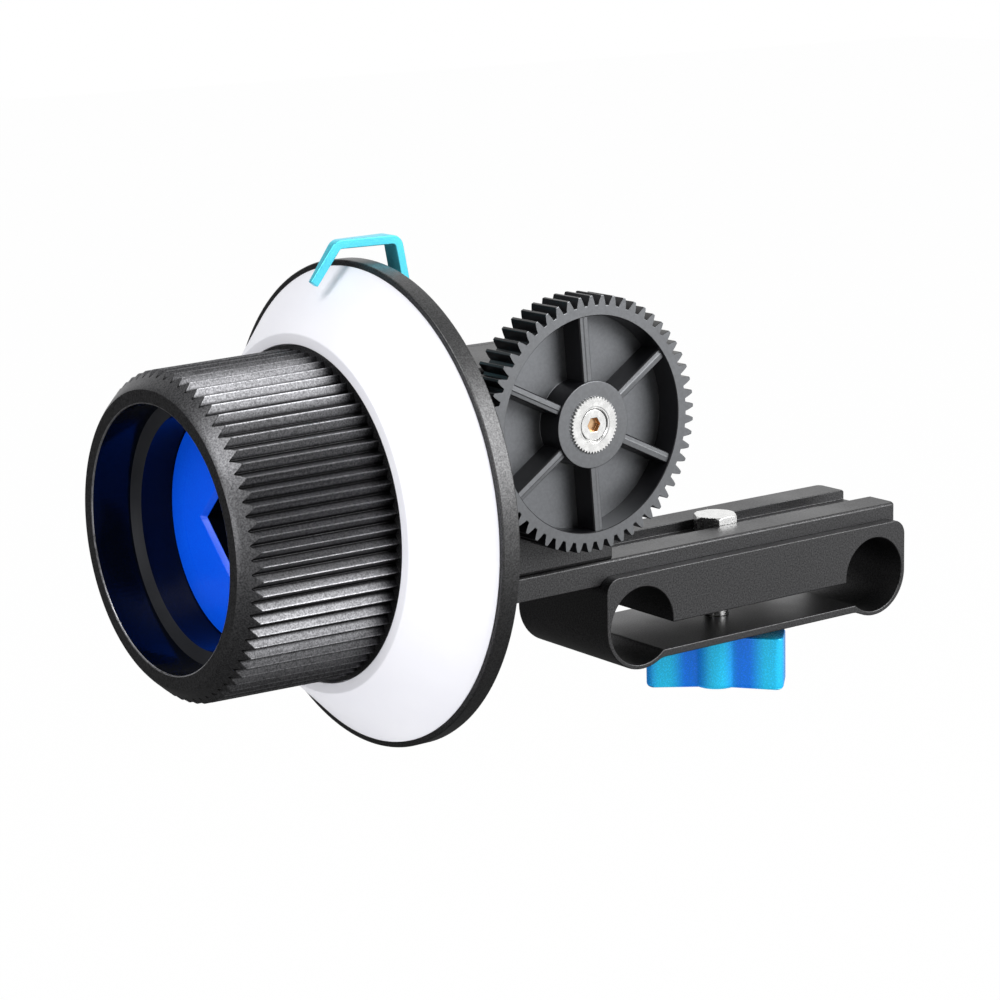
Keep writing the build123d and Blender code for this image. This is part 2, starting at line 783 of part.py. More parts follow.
dial_face = knob_back + dial_gap
dial_slope = (dial_rim_radius - dial_collar_radius) / (plate_front - dial_front)
dial_inside = dial_face + dial_wall
inner_collar_radius = dial_collar_radius - dial_wall + dial_slope * (dial_inside - dial_front)
inner_rim_radius = inner_collar_radius + dial_slope * (plate_front - dial_inside)
with BuildPart() as marking_dial:
    with BuildSketch(knob_section):
        with BuildLine():
            Polyline(
                (dial_face, hub_radius + boss_clearance),
                (dial_face, dial_collar_radius - dial_collar_width),
                (dial_front, dial_collar_radius - dial_collar_width),
                (dial_front, dial_collar_radius),
                (plate_front, dial_rim_radius),
                (plate_front, inner_rim_radius - dial_wall),
                (dial_inside, inner_collar_radius - dial_wall),
                (dial_inside, hub_radius + boss_clearance),
                close=True,
            )
        make_face()
    revolve(axis=knob_axis)
marking_dial.part.label = "marking_dial"
export_step(marking_dial.part, "parts/marking_dial.step")

# The hub screws to the floor of the knob, and a pin locks it to the shaft
hub_pin_x = (dial_inside + plate_front) / 2
hub_pin_half = hub_radius - hub_pin_inset
with BuildPart() as hub_pin:
    with BuildSketch(Plane(origin=(hub_pin_x, axis_y, knob_z - hub_pin_half))):
        Circle(hub_pin_radius)
    extrude(amount=2 * hub_pin_half)
hub_pin.part.label = "hub_pin"
export_step(hub_pin.part, "parts/hub_pin.step")

with BuildPart() as dial_backplate:
    with BuildSketch(knob_section):
        with BuildLine():
            Polyline(
                (floor_back, socket_boss_radius + boss_clearance),
                (floor_back, hub_radius),
                (plate_front, hub_radius),
                (plate_front, plate_radius - plate_edge),
                (plate_front + plate_edge, plate_radius),
                (plate_back - plate_edge, plate_radius),
                (plate_back, plate_radius - plate_edge),
                (plate_back, rear_hub_radius),
                (hub_back, rear_hub_radius),
                (hub_back, knob_shaft_radius),
                (boss_end, knob_shaft_radius),
                (boss_end, socket_boss_radius + boss_clearance),
                close=True,
            )
        make_face()
    revolve(axis=knob_axis)
    for screw_blank in hub_screw_blanks:
        add(screw_blank, mode=Mode.SUBTRACT)
    add(hub_pin.part, mode=Mode.SUBTRACT)
dial_backplate.part.label = "dial_backplate"
export_step(dial_backplate.part, "parts/dial_backplate.step")

with BuildPart() as knob_thrust_washer:
    extrude(ring(facing_right(hub_back), rear_hub_radius, knob_shaft_radius), amount=thrust_washer_thickness)
knob_thrust_washer.part.label = "knob_thrust_washer"
export_step(knob_thrust_washer.part, "parts/knob_thrust_washer.step")

knob_clip_x = inner_left + inner_bush_flange + end_float
with BuildPart() as knob_clip:
    extrude(clip_ring(facing_right(knob_clip_x), knob_shaft_radius), amount=clip_thickness)
knob_clip.part.label = "knob_clip"
export_step(knob_clip.part, "parts/knob_clip.step")

with BuildPart() as knob_shaft:
    with BuildSketch(facing_right(boss_end)):
        Circle(knob_shaft_radius)
    extrude(amount=spigot_start - boss_end)
    with BuildSketch(facing_right(spigot_start)):
        Circle(knob_spigot_radius)
    extrude(amount=spigot_end - spigot_start)
    groove = ring(facing_right(knob_clip_x), knob_shaft_radius, knob_shaft_radius - clip_groove)
    extrude(groove, amount=clip_thickness, mode=Mode.SUBTRACT)
    add(hub_pin.part, mode=Mode.SUBTRACT)
knob_shaft.part.label = "knob_shaft"
export_step(knob_shaft.part, "parts/knob_shaft.step")

# ---- Gear train ------------------------------------------------------------------------------

apex = (output_x, axis_y, knob_z)
grub_x = (spigot_start + output_x - mitre_radius) / 2
with BuildPart() as knob_grub_screw:
    with BuildSketch(Plane(origin=(grub_x, axis_y, knob_z + knob_spigot_radius))):
        Circle(grub_radius)
    extrude(amount=mitre_hub_radius - knob_spigot_radius)
    grub_blank = Part(knob_grub_screw.part.wrapped)
    with BuildSketch(Plane(origin=(grub_x, axis_y, knob_z + mitre_hub_radius))):
        RegularPolygon(grub_socket_flats / 2, 6, major_radius=False)
    extrude(amount=-grub_radius, mode=Mode.SUBTRACT)
knob_grub_screw.part.label = "knob_grub_screw"
export_step(knob_grub_screw.part, "parts/knob_grub_screw.step")

# The knob's mitre gear lies left of the apex, with a tooth in line with the idler's axis
knob_mitre_plane = Plane(origin=apex, x_dir=(0, 1, 0), z_dir=(-1, 0, 0))
with BuildPart() as knob_mitre_gear:
    add(mitre_blank(knob_mitre_plane, 0.0, mitre_hub_radius, mitre_hub_end))
    with BuildSketch(facing_right(spigot_start)):
        Circle(knob_spigot_radius)
    extrude(amount=mitre_hub_end, mode=Mode.SUBTRACT)
    add(grub_blank, mode=Mode.SUBTRACT)
knob_mitre_gear.part.label = "knob_mitre_gear"
export_step(knob_mitre_gear.part, "parts/knob_mitre_gear.step")

# The idler's mitre gear lies behind the apex, with a gap between teeth towards the knob
idler_mitre_plane = Plane(origin=apex, x_dir=(-1, 0, 0), z_dir=(0, 1, 0))
idler_hub_end = cover_boss_front - end_float - axis_y
with BuildPart() as idler_mitre_gear:
    add(mitre_blank(idler_mitre_plane, pi / mitre_teeth, idler_hub_radius, idler_hub_end))
    with BuildSketch(idler_mitre_plane):
        Circle(idler_shaft_radius)
    extrude(amount=idler_hub_end, mode=Mode.SUBTRACT)
idler_mitre_gear.part.label = "idler_mitre_gear"
export_step(idler_mitre_gear.part, "parts/idler_mitre_gear.step")

spur_outline = gear_outline(spur_teeth, spur_module, spur_tooth_share, (-dedendum_share, 1))
with BuildPart() as idler_spur_gear:
    with BuildSketch(facing_front(spur_back, output_x, knob_z)):
        with BuildLine():
            Polyline(*spur_outline, close=True)
        make_face()
        Circle(idler_shaft_radius, mode=Mode.SUBTRACT)
    extrude(amount=spur_thickness)
idler_spur_gear.part.label = "idler_spur_gear"
export_step(idler_spur_gear.part, "parts/idler_spur_gear.step")

idler_clip_plane = facing_front(spur_back + clip_thickness, output_x, knob_z)
with BuildPart() as idler_clip:
    extrude(clip_ring(idler_clip_plane, idler_shaft_radius), amount=clip_thickness)
idler_clip.part.label = "idler_clip"
export_step(idler_clip.part, "parts/idler_clip.step")

idler_front_end = box_front + cover_skin + end_float
idler_back_end = box_back - cover_skin - end_float
with BuildPart() as idler_shaft:
    with BuildSketch(facing_front(idler_back_end, output_x, knob_z)):
        Circle(idler_shaft_radius)
    extrude(amount=idler_back_end - idler_front_end)
    groove = ring(idler_clip_plane, idler_shaft_radius, idler_shaft_radius - clip_groove)
    extrude(groove, amount=clip_thickness, mode=Mode.SUBTRACT)
idler_shaft.part.label = "idler_shaft"
export_step(idler_shaft.part, "parts/idler_shaft.step")

with BuildPart() as output_spur_gear:
    with BuildSketch(facing_front(spur_back, output_x, output_z)):
        with BuildLine():
            Polyline(*spur_outline, close=True)
        make_face()
        Circle(output_shaft_radius, mode=Mode.SUBTRACT)
    extrude(amount=spur_thickness)
output_spur_gear.part.label = "output_spur_gear"
export_step(output_spur_gear.part, "parts/output_spur_gear.step")

output_clip_plane = facing_front(spur_back + clip_thickness, output_x, output_z)
with BuildPart() as output_clip:
    extrude(clip_ring(output_clip_plane, output_shaft_radius), amount=clip_thickness)
output_clip.part.label = "output_clip"
export_step(output_clip.part, "parts/output_clip.step")

# ---- Output shaft and drive gear -------------------------------------------------------------

with BuildPart() as gear_spacer:
    spacer_plane = facing_front(box_front - output_flange - thrust_gap, output_x, output_z)
    spacer_length = gear_gap - output_flange - thrust_gap
    extrude(ring(spacer_plane, spacer_radius, output_shaft_radius), amount=spacer_length)
gear_spacer.part.label = "gear_spacer"
export_step(gear_spacer.part, "parts/gear_spacer.step")

screw_seat_y = nut_front + gear_screw_sink + gear_screw_head_height
gear_screw_seat = facing_front(screw_seat_y, output_x, output_z)
gear_screw_blank = cheese_head_blank(
    gear_screw_seat, gear_screw_head_radius, gear_screw_head_height, gear_screw_radius, gear_screw_length
)
with BuildPart() as gear_screw:
    add(gear_screw_blank)
    with BuildSketch(gear_screw_seat.offset(gear_screw_head_height)):
        RegularPolygon(gear_socket_flats / 2, 6, major_radius=False)
    extrude(amount=-gear_socket_depth, mode=Mode.SUBTRACT)
gear_screw.part.label = "gear_screw"
export_step(gear_screw.part, "parts/gear_screw.step")

with BuildPart() as output_shaft:
    with BuildSketch(facing_front(idler_back_end, output_x, output_z)):
        Circle(output_shaft_radius)
    extrude(amount=idler_back_end - shaft_front)
    groove = ring(output_clip_plane, output_shaft_radius, output_shaft_radius - clip_groove)
    extrude(groove, amount=clip_thickness, mode=Mode.SUBTRACT)
    add(gear_screw_blank, mode=Mode.SUBTRACT)
output_shaft.part.label = "output_shaft"
export_step(output_shaft.part, "parts/output_shaft.step")

# A serrated flange with a spigot that seats in the hub of the gear
with BuildPart() as gear_nut:
    with BuildSketch(facing_front(gear_front, output_x, output_z)):
        with BuildLine():
            Polyline(*ridge_outline(nut_serration_count, nut_radius, nut_serration_depth), close=True)
        make_face()
    extrude(amount=nut_height)
    with BuildSketch(facing_front(shaft_front, output_x, output_z)):
        Circle(nut_spigot_radius)
    extrude(amount=nut_spigot_length)
    with BuildSketch(facing_front(shaft_front, output_x, output_z)):
        Circle(gear_screw_radius)
    extrude(amount=nut_spigot_length + nut_height, mode=Mode.SUBTRACT)
    with BuildSketch(gear_screw_seat):
        Circle(gear_screw_head_radius + gear_screw_clearance)
    extrude(amount=screw_seat_y - nut_front, mode=Mode.SUBTRACT)
gear_nut.part.label = "gear_nut"
export_step(gear_nut.part, "parts/gear_nut.step")

# Toothed rim, hub and six ribs in front of a web
drive_gear_outline = gear_outline(gear_teeth, gear_module, gear_tooth_share, (-dedendum_share, 0, 1))
with BuildPart() as drive_gear:
    with BuildSketch(facing_front(gear_back, output_x, output_z)):
        with BuildLine():
            Polyline(*drive_gear_outline, close=True)
        make_face()
    extrude(amount=gear_width)
    with BuildSketch(facing_front(gear_back - gear_web, output_x, output_z)):
        Circle(gear_rim_radius)
        Circle(gear_hub_radius, mode=Mode.SUBTRACT)
    extrude(amount=gear_width - gear_web, mode=Mode.SUBTRACT)
    with BuildSketch(facing_front(gear_back - gear_web, output_x, output_z)) as spokes:
        rib_middle = (gear_hub_radius + gear_rim_radius) / 2
        with PolarLocations(rib_middle, rib_count, start_angle=rib_first_angle):
            Rectangle(gear_rim_radius - gear_hub_radius + rib_width, rib_width)
        Circle(gear_hub_radius, mode=Mode.SUBTRACT)
    extrude(amount=gear_width - gear_web - rib_drop)
    with BuildSketch(facing_front(gear_back, output_x, output_z)):
        Circle(output_shaft_radius)
    extrude(amount=gear_width, mode=Mode.SUBTRACT)
    with BuildSketch(facing_front(shaft_front, output_x, output_z)):
        Circle(nut_spigot_radius)
    extrude(amount=nut_spigot_length, mode=Mode.SUBTRACT)
drive_gear.part.label = "drive_gear"
export_step(drive_gear.part, "parts/drive_gear.step")
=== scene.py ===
import json
import math

import bmesh
import bpy
from mathutils import Matrix, Vector


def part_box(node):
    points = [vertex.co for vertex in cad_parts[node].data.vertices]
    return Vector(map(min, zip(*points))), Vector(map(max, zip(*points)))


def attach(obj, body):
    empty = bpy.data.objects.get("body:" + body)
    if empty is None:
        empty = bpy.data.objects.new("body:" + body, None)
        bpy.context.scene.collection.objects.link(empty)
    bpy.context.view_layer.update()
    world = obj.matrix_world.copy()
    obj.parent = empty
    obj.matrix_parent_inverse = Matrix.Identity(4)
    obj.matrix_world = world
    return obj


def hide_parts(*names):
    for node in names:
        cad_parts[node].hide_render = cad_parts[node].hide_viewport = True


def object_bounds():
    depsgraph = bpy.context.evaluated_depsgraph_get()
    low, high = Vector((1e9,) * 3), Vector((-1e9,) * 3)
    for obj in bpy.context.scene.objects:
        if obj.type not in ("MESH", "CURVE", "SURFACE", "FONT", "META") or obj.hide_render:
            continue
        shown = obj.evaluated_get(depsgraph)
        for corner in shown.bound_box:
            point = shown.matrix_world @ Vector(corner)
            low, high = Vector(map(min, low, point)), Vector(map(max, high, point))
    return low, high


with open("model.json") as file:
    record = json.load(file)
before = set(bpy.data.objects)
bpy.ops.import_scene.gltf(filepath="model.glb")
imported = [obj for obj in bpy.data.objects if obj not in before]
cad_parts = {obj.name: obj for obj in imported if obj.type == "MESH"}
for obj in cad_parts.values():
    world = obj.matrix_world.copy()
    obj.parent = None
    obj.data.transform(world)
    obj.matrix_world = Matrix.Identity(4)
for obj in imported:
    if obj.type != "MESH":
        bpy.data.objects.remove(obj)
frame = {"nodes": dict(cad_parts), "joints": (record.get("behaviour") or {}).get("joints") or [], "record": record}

cadBox = [list(corner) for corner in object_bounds()]
mm = 0.001
joints = {joint["name"]: joint for joint in frame["joints"]}
knobCentre = Vector(joints["knob_spin"]["pos_m"])  # on the axis of the hand knob, which lies along X
gearCentre = Vector(joints["output_spin"]["pos_m"])  # on the axis of the lens gear, along Y
print("frame loaded:", len(frame["nodes"]), "nodes")

# Axes of a turned piece: the first column is its axis, and a radius at angle 0 lies along the second
alongX = Matrix(((1, 0, 0), (0, 1, 0), (0, 0, 1)))
alongY = Matrix(((0, 1, 0), (1, 0, 0), (0, 0, 1)))


# ---- materials: helpers

colourSpan = (0.35, 0.65)  # the part of a noise over which a colour goes from dark to light
glossSpan = (0.3, 0.7)  # the same for the roughness
grainDepth = 0.02 * mm  # height of the bumps of a blasted metal
fineDepth = 0.01 * mm  # height of the bumps of a turned metal or a plastic


def startMaterial(name, colour, **settings):
    material = bpy.data.materials.new(name)
    material.use_nodes = True
    tree = material.node_tree
    shader = tree.nodes["Principled BSDF"]
    shader.inputs["Base Color"].default_value = (*colour, 1)
    for socket, value in settings.items():
        shader.inputs[socket.replace("_", " ")].default_value = value
    place = tree.nodes.new("ShaderNodeTexCoord")
    return material, tree, shader, place.outputs["Object"]


def feed(tree, term, socket):  # gives a socket a value, or a link from another node
    if isinstance(term, bpy.types.NodeSocket):
        tree.links.new(term, socket)
    else:
        socket.default_value = term


def addMath(tree, operation, *terms, kind="ShaderNodeMath", result=0):  # a term is a value or a socket
    node = tree.nodes.new(kind)
    node.operation = operation
    for socket, term in zip(node.inputs, terms):
        feed(tree, term, socket)
    return node.outputs[result]


def addMeasure(tree, operation, *vectors):  # a number from vectors: a length or a dot product
    return addMath(tree, operation, *vectors, kind="ShaderNodeVectorMath", result="Value")


def addNoise(tree, place, scale, detail=2.0, rough=0.5, stretch=None):
    if stretch:
        mapping = tree.nodes.new("ShaderNodeMapping")
        mapping.inputs["Scale"].default_value = stretch
        tree.links.new(place, mapping.inputs["Vector"])
        place = mapping.outputs["Vector"]
    noise = tree.nodes.new("ShaderNodeTexNoise")
    noise.inputs["Scale"].default_value = scale
    noise.inputs["Detail"].default_value = detail
    noise.inputs["Roughness"].default_value = rough
    tree.links.new(place, noise.inputs["Vector"])
    return noise.outputs["Fac"]


def addGrain(tree, place, scale=3200):  # the fine grain of a blasted metal
    return addNoise(tree, place, scale, detail=3.0, rough=0.65)


def addRange(tree, value, fromLow, fromHigh, toLow, toHigh):
    node = tree.nodes.new("ShaderNodeMapRange")
    ends = {"From Min": fromLow, "From Max": fromHigh, "To Min": toLow, "To Max": toHigh}
    for socket, number in ends.items():
        node.inputs[socket].default_value = number
    tree.links.new(value, node.inputs["Value"])
    return node.outputs["Result"]


def mixColours(tree, factor, first, second, blend="MIX"):
    node = tree.nodes.new("ShaderNodeMix")
    node.data_type = "RGBA"
    node.blend_type = blend
    for name, term in (("Factor", factor), ("A", first), ("B", second)):
        feed(tree, (*term, 1) if isinstance(term, tuple) else term, node.inputs[name])
    return node.outputs["Result"]


def noiseColour(tree, noise, dark, light):
    return mixColours(tree, addRange(tree, noise, *colourSpan, 0.0, 1.0), dark, light)


def noiseRoughness(tree, shader, noise, roughness, below, above):
    gloss = addRange(tree, noise, *glossSpan, roughness - below, roughness + above)
    tree.links.new(gloss, shader.inputs["Roughness"])


def addBump(tree, shader, height, strength, distance):
    bump = tree.nodes.new("ShaderNodeBump")
    bump.inputs["Strength"].default_value = strength
    bump.inputs["Distance"].default_value = distance
    tree.links.new(height, bump.inputs["Height"])
    tree.links.new(bump.outputs["Normal"], shader.inputs["Normal"])


# Paints shade and highlights on the ridges of the hand knob: painted shade towards the dial and in their valleys,
# and painted highlights on their crests.
# A height is a distance from the axis, less what the cone of the ridges has grown by since the front
def paintRidgeShadeAndHighlight(tree, place, colour, ridge):
    apart = tree.nodes.new("ShaderNodeSeparateXYZ")
    tree.links.new(place, apart.inputs[0])
    along = apart.outputs["X"]
    fade = addRange(tree, along, ridge["fadeStart"], ridge["fadeEnd"], 1.0, ridge["fadeLeast"])
    colour = mixColours(tree, 1.0, colour, fade, blend="MULTIPLY")
    offset = tree.nodes.new("ShaderNodeMapping")
    offset.inputs["Location"].default_value = (0, -knobCentre.y, -knobCentre.z)
    offset.inputs["Scale"].default_value = (0, 1, 1)
    tree.links.new(place, offset.inputs["Vector"])
    reach = addMeasure(tree, "LENGTH", offset.outputs["Vector"])
    cone = addMath(tree, "MULTIPLY_ADD", along, -ridge["spread"], ridge["spread"] * ridge["front"])
    height = addMath(tree, "ADD", reach, cone)
    darkFrom, darkTo, crestFrom, crestTo = (
        ridge["valley"] + ridge[key] for key in ("darkFrom", "darkTo", "crestFrom", "crestTo")
    )
    valleys = addRange(tree, height, darkFrom, darkTo, ridge["darkLeast"], 1.0)
    crests = addRange(tree, height, crestFrom, crestTo, 0.0, ridge["crestGain"])
    return mixColours(tree, 1.0, colour, addMath(tree, "ADD", valleys, crests), blend="MULTIPLY")


# A bead-blasted and anodised metal: fine grain in colour and height, with slow changes of gloss. With ridge values
# it also carries the painted shade and highlights of the knob's ridges
def blastedMetal(name, dark, light, roughness, metallic=1.0, grain=3200, bump=0.35, cloud=60, ridge=None):
    material, tree, shader, place = startMaterial(name, light, Metallic=metallic)
    fine = addGrain(tree, place, grain)
    slow = addNoise(tree, place, cloud)
    colour = noiseColour(tree, fine, dark, light)
    if ridge:
        colour = paintRidgeShadeAndHighlight(tree, place, colour, ridge)
    tree.links.new(colour, shader.inputs["Base Color"])
    noiseRoughness(tree, shader, slow, roughness, 0.04, 0.05)
    addBump(tree, shader, fine, bump, grainDepth)
    return material


# Painted reflections: bands of two colours across a direction, brightest at the centre, standing for the
# reflections of lights on a curved piece
def reflectionBandedMetal(name, deep, bright, centre, across, period, bandEdge, roughness, metallic, bump):
    material, tree, shader, place = startMaterial(name, bright, Metallic=metallic)
    turns = 2 * math.pi / period
    along = addMeasure(tree, "DOT_PRODUCT", place, across)
    phase = addMath(tree, "MULTIPLY_ADD", along, turns, -turns * centre.dot(Vector(across)))
    band = addRange(tree, addMath(tree, "COSINE", phase), -bandEdge, bandEdge, 0.0, 1.0)
    tree.links.new(mixColours(tree, band, deep, bright), shader.inputs["Base Color"])
    fine = addGrain(tree, place)
    noiseRoughness(tree, shader, fine, roughness, 0.04, 0.05)
    addBump(tree, shader, fine, bump, grainDepth)
    return material


# A turned metal: rings of fine tool marks, stretched along the axis of the lathe
def turnedMetal(name, colour, roughness, stretch, marks=900, shade=0.82, bump=0.15):
    material, tree, shader, place = startMaterial(name, colour, Metallic=1.0)
    lines = addNoise(tree, place, marks, stretch=stretch)
    noiseRoughness(tree, shader, lines, roughness, 0.08, 0.1)
    dark = tuple(shade * part for part in colour)
    tree.links.new(noiseColour(tree, lines, dark, colour), shader.inputs["Base Color"])
    addBump(tree, shader, lines, bump, fineDepth)
    return material


def plainPlastic(name, dark, light, roughness, grain, bump, specular=0.5, cloud=45):
    material, tree, shader, place = startMaterial(name, light)
    shader.inputs["Specular IOR Level"].default_value = specular
    fine = addNoise(tree, place, grain, detail=3.0)
    slow = addNoise(tree, place, cloud, detail=3.0)
    tree.links.new(noiseColour(tree, slow, dark, light), shader.inputs["Base Color"])
    noiseRoughness(tree, shader, slow, roughness, 0.05, 0.05)
    addBump(tree, shader, fine, bump, fineDepth)
    return material


# ---- materials of this unit: name, darker and lighter colour, roughness, and what else the kind takes

# painted shade and highlights of the hand knob's ridges: fade is painted shade towards the dial, dark is painted
# shade in the valleys, crest is a painted highlight
ridgePaintedLight = {  # the first two and the front are places along X in metres
    "fadeStart": -0.1005,
    "fadeEnd": -0.0955,
    "fadeLeast": 0.35,
    "front": -0.1249,
    "spread": 0.0201,
    "valley": 27.79 * mm,
    "darkFrom": 0.10 * mm,
    "darkTo": 0.45 * mm,
    "darkLeast": 0.12,
    "crestFrom": 1.04 * mm,
    "crestTo": 1.12 * mm,
    "crestGain": 1.1,
}
# painted reflection bands on the thumb knob, bright and deep in turn across it
thumbPaintedReflections = {
    "deep": (0.0, 0.21, 0.95),
    "bright": (0.015, 0.62, 1.0),
    "across": (0.80, -0.60, 0.0),
    "period": 10.5 * mm,
    "bandEdge": 0.8,
    "roughness": 0.26,
    "metallic": 0.25,
    "bump": 0.06,
}
thumbLow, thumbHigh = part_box("thumb_knob")
blackAnodised = blastedMetal("blackAnodised", (0.045, 0.045, 0.046), (0.115, 0.115, 0.118), 0.42)
# the ridges' finish carries painted shade towards the dial and in the valleys, and painted highlights on the
# crests
ridgeBlack = blastedMetal(
    "ridgeBlack", (0.055, 0.055, 0.058), (0.155, 0.155, 0.162), 0.36, bump=0.25, ridge=ridgePaintedLight,
)
chamferBlack = blastedMetal(
    "chamferBlack", (0.055, 0.055, 0.058), (0.150, 0.150, 0.156), 0.40, bump=0.25,
)
plateBlack = blastedMetal("plateBlack", (0.060, 0.060, 0.061), (0.130, 0.130, 0.132), 0.42)
# near black, darker than the knob's metal: the bore's black with painted shade over it, and painted shade deep in
# the socket's square hole
boreBlackShade = plainPlastic(
    "boreBlackShade", (0.001, 0.002, 0.005), (0.002, 0.003, 0.007), 0.16, 400, 0.02, specular=0.2,
)
# a lighter grey band on the step inside the bore: a painted reflection
stepReflectionGrey = plainPlastic("stepReflectionGrey", (0.012, 0.013, 0.016), (0.020, 0.021, 0.025), 0.35, 400, 0.02)
# a bright metal on the front edge of the bore's lip: a painted highlight
lipEdgeHighlight = turnedMetal("lipEdgeHighlight", (0.55, 0.55, 0.57), 0.30, (6, 1, 1))
gearPlastic = blastedMetal(
    "gearPlastic", (0.175, 0.180, 0.188), (0.200, 0.206, 0.216), 0.45, grain=1500, bump=0.1,
)
# a lighter copy of the gear's plastic for the web: painted light against the shade of the rim and ribs
gearWebLitGrey = blastedMetal(
    "gearWebLitGrey", (0.190, 0.197, 0.208), (0.215, 0.222, 0.234), 0.42, grain=1500, bump=0.1,
)
# a near-black copy of the gear's plastic for its sides: painted shade
gearSideShade = plainPlastic("gearSideShade", (0.004, 0.004, 0.005), (0.006, 0.006, 0.008), 0.34, 1500, 0.05)
# the thumb knob's cyan, with painted reflection bands
cyanAnodised = reflectionBandedMetal("cyanAnodised", centre=(thumbLow + thumbHigh) / 2, **thumbPaintedReflections)
# a paler copy of the cyan finish for the pointer: a painted highlight
cyanPaintedHighlight = blastedMetal("cyanPaintedHighlight", (0.09, 0.66, 0.84), (0.12, 0.72, 0.88), 0.34, 0.7, bump=0.15)
socketBlue = blastedMetal("socketBlue", (0.0, 0.09, 0.95), (0.0, 0.12, 1.0), 0.35, 0.0, bump=0.08)
dialWhite = plainPlastic(
    "dialWhite", (0.86, 0.86, 0.92), (0.90, 0.90, 0.95), 0.5, 900, 0.03, specular=0.3,
)
boltSteel = turnedMetal("boltSteel", (0.86, 0.86, 0.85), 0.24, (1, 1, 6))
nutSteel = turnedMetal("nutSteel", (0.93, 0.93, 0.92), 0.26, (1, 6, 1))
# copper inside the socket of the gear screw: a painted glint
screwSocketGlint = turnedMetal("screwSocketGlint", (0.80, 0.52, 0.30), 0.26, (1, 6, 1))
shaftSteel = turnedMetal("shaftSteel", (0.50, 0.50, 0.51), 0.32, (8, 1, 1))
gearBrass = turnedMetal("gearBrass", (0.72, 0.53, 0.24), 0.33, (3, 3, 3))
washerPlastic = plainPlastic("washerPlastic", (0.60, 0.60, 0.57), (0.68, 0.68, 0.65), 0.5, 700, 0.05)
print("materials ready")


# ---- shapes: helpers

joinDistance = 0.002 * mm  # nearer points of a built piece become one
solidJoin = 0.001 * mm  # the same for a copy of a solid
flatAngle = math.radians(0.5)  # faces that meet at less are joined to one
bevelAngle = math.radians(32)  # edges that turn by more are eased
sharpAngle = math.radians(20)  # edges of a repeated piece that turn by more stay crisp


def meshFrom(name, shape):  # turns a working shape into a mesh and frees it
    mesh = bpy.data.meshes.new(name)
    shape.to_mesh(mesh)
    shape.free()
    return mesh


def linkPiece(name, mesh, material):
    piece = bpy.data.objects.new(name, mesh)
    bpy.context.scene.collection.objects.link(piece)
    mesh.materials.append(material)
    return piece


def settle(piece):  # applies the modifiers to the mesh and takes them off
    graph = bpy.context.evaluated_depsgraph_get()
    shape = bpy.data.meshes.new_from_object(piece.evaluated_get(graph))
    piece.modifiers.clear()
    piece.data = shape


def cleanShape(piece):  # merges doubles and turns every face outwards
    shape = bmesh.new()
    shape.from_mesh(piece.data)
    bmesh.ops.remove_doubles(shape, verts=shape.verts, dist=joinDistance)
    bmesh.ops.recalc_face_normals(shape, faces=shape.faces)
    shape.to_mesh(piece.data)
    shape.free()
    return piece


def markSharp(piece):
    shape = bmesh.new()
    shape.from_mesh(piece.data)
    for edge in shape.edges:
        if edge.calc_face_angle(0.0) > sharpAngle:
            edge.smooth = False
    shape.to_mesh(piece.data)
    shape.free()


def smoothFinish(piece, bevel=0.0, sharp=False):
    if bevel:
        edge = piece.modifiers.new("edge", "BEVEL")
        edge.width = bevel
        edge.segments = 2
        edge.limit_method = "ANGLE"
        edge.angle_limit = bevelAngle
        edge.use_clamp_overlap = False
    piece.data.polygons.foreach_set("use_smooth", [True] * len(piece.data.polygons))
    if sharp:
        markSharp(piece)
    weight = piece.modifiers.new("weight", "WEIGHTED_NORMAL")
    weight.keep_sharp = True
    settle(piece)
    return piece


# Replaces each corner of a closed outline of (axial, radius) points by a small round
def softened(outline, radius, steps=3):
    points = []
    for here, corner in enumerate(outline):
        corner = Vector(corner)
        back = Vector(outline[here - 1]) - corner
        ahead = Vector(outline[(here + 1) % len(outline)]) - corner
        reach = min(radius, 0.4 * back.length, 0.4 * ahead.length)
        start = corner + back.normalized() * reach
        end = corner + ahead.normalized() * reach
        for step in range(steps):
            share = step / (steps - 1)
            points.append(start.lerp(corner, share).lerp(corner.lerp(end, share), share))
    return points


# Faces over grid[column][row] of points. Rows close on themselves, and columns too where closed is given
def gridFaces(grid, closed):
    shape = bmesh.new()
    corners = [[shape.verts.new(point) for point in column] for column in grid]
    for column in range(len(grid) if closed else len(grid) - 1):
        here, beside = corners[column], corners[(column + 1) % len(grid)]
        for row in range(len(here)):
            above = (row + 1) % len(here)
            shape.faces.new((here[row], here[above], beside[above], beside[row]))
    return shape


def turnedPoint(axial, radius, angle):  # a point about the X axis
    return Vector((axial, radius * math.cos(angle), radius * math.sin(angle)))


# A closed round shell from an outline of (axial, radius) points
def turnedPiece(name, outline, centre, axes, material, soft=0.15 * mm, sides=180):
    rounded = softened(outline, soft)
    grid = [
        [axes @ turnedPoint(axial, radius, 2 * math.pi * side / sides) for axial, radius in rounded]
        for side in range(sides)
    ]
    mesh = meshFrom(name, gridFaces(grid, True))
    mesh.transform(Matrix.Translation(centre))
    return smoothFinish(cleanShape(linkPiece(name, mesh, material)))


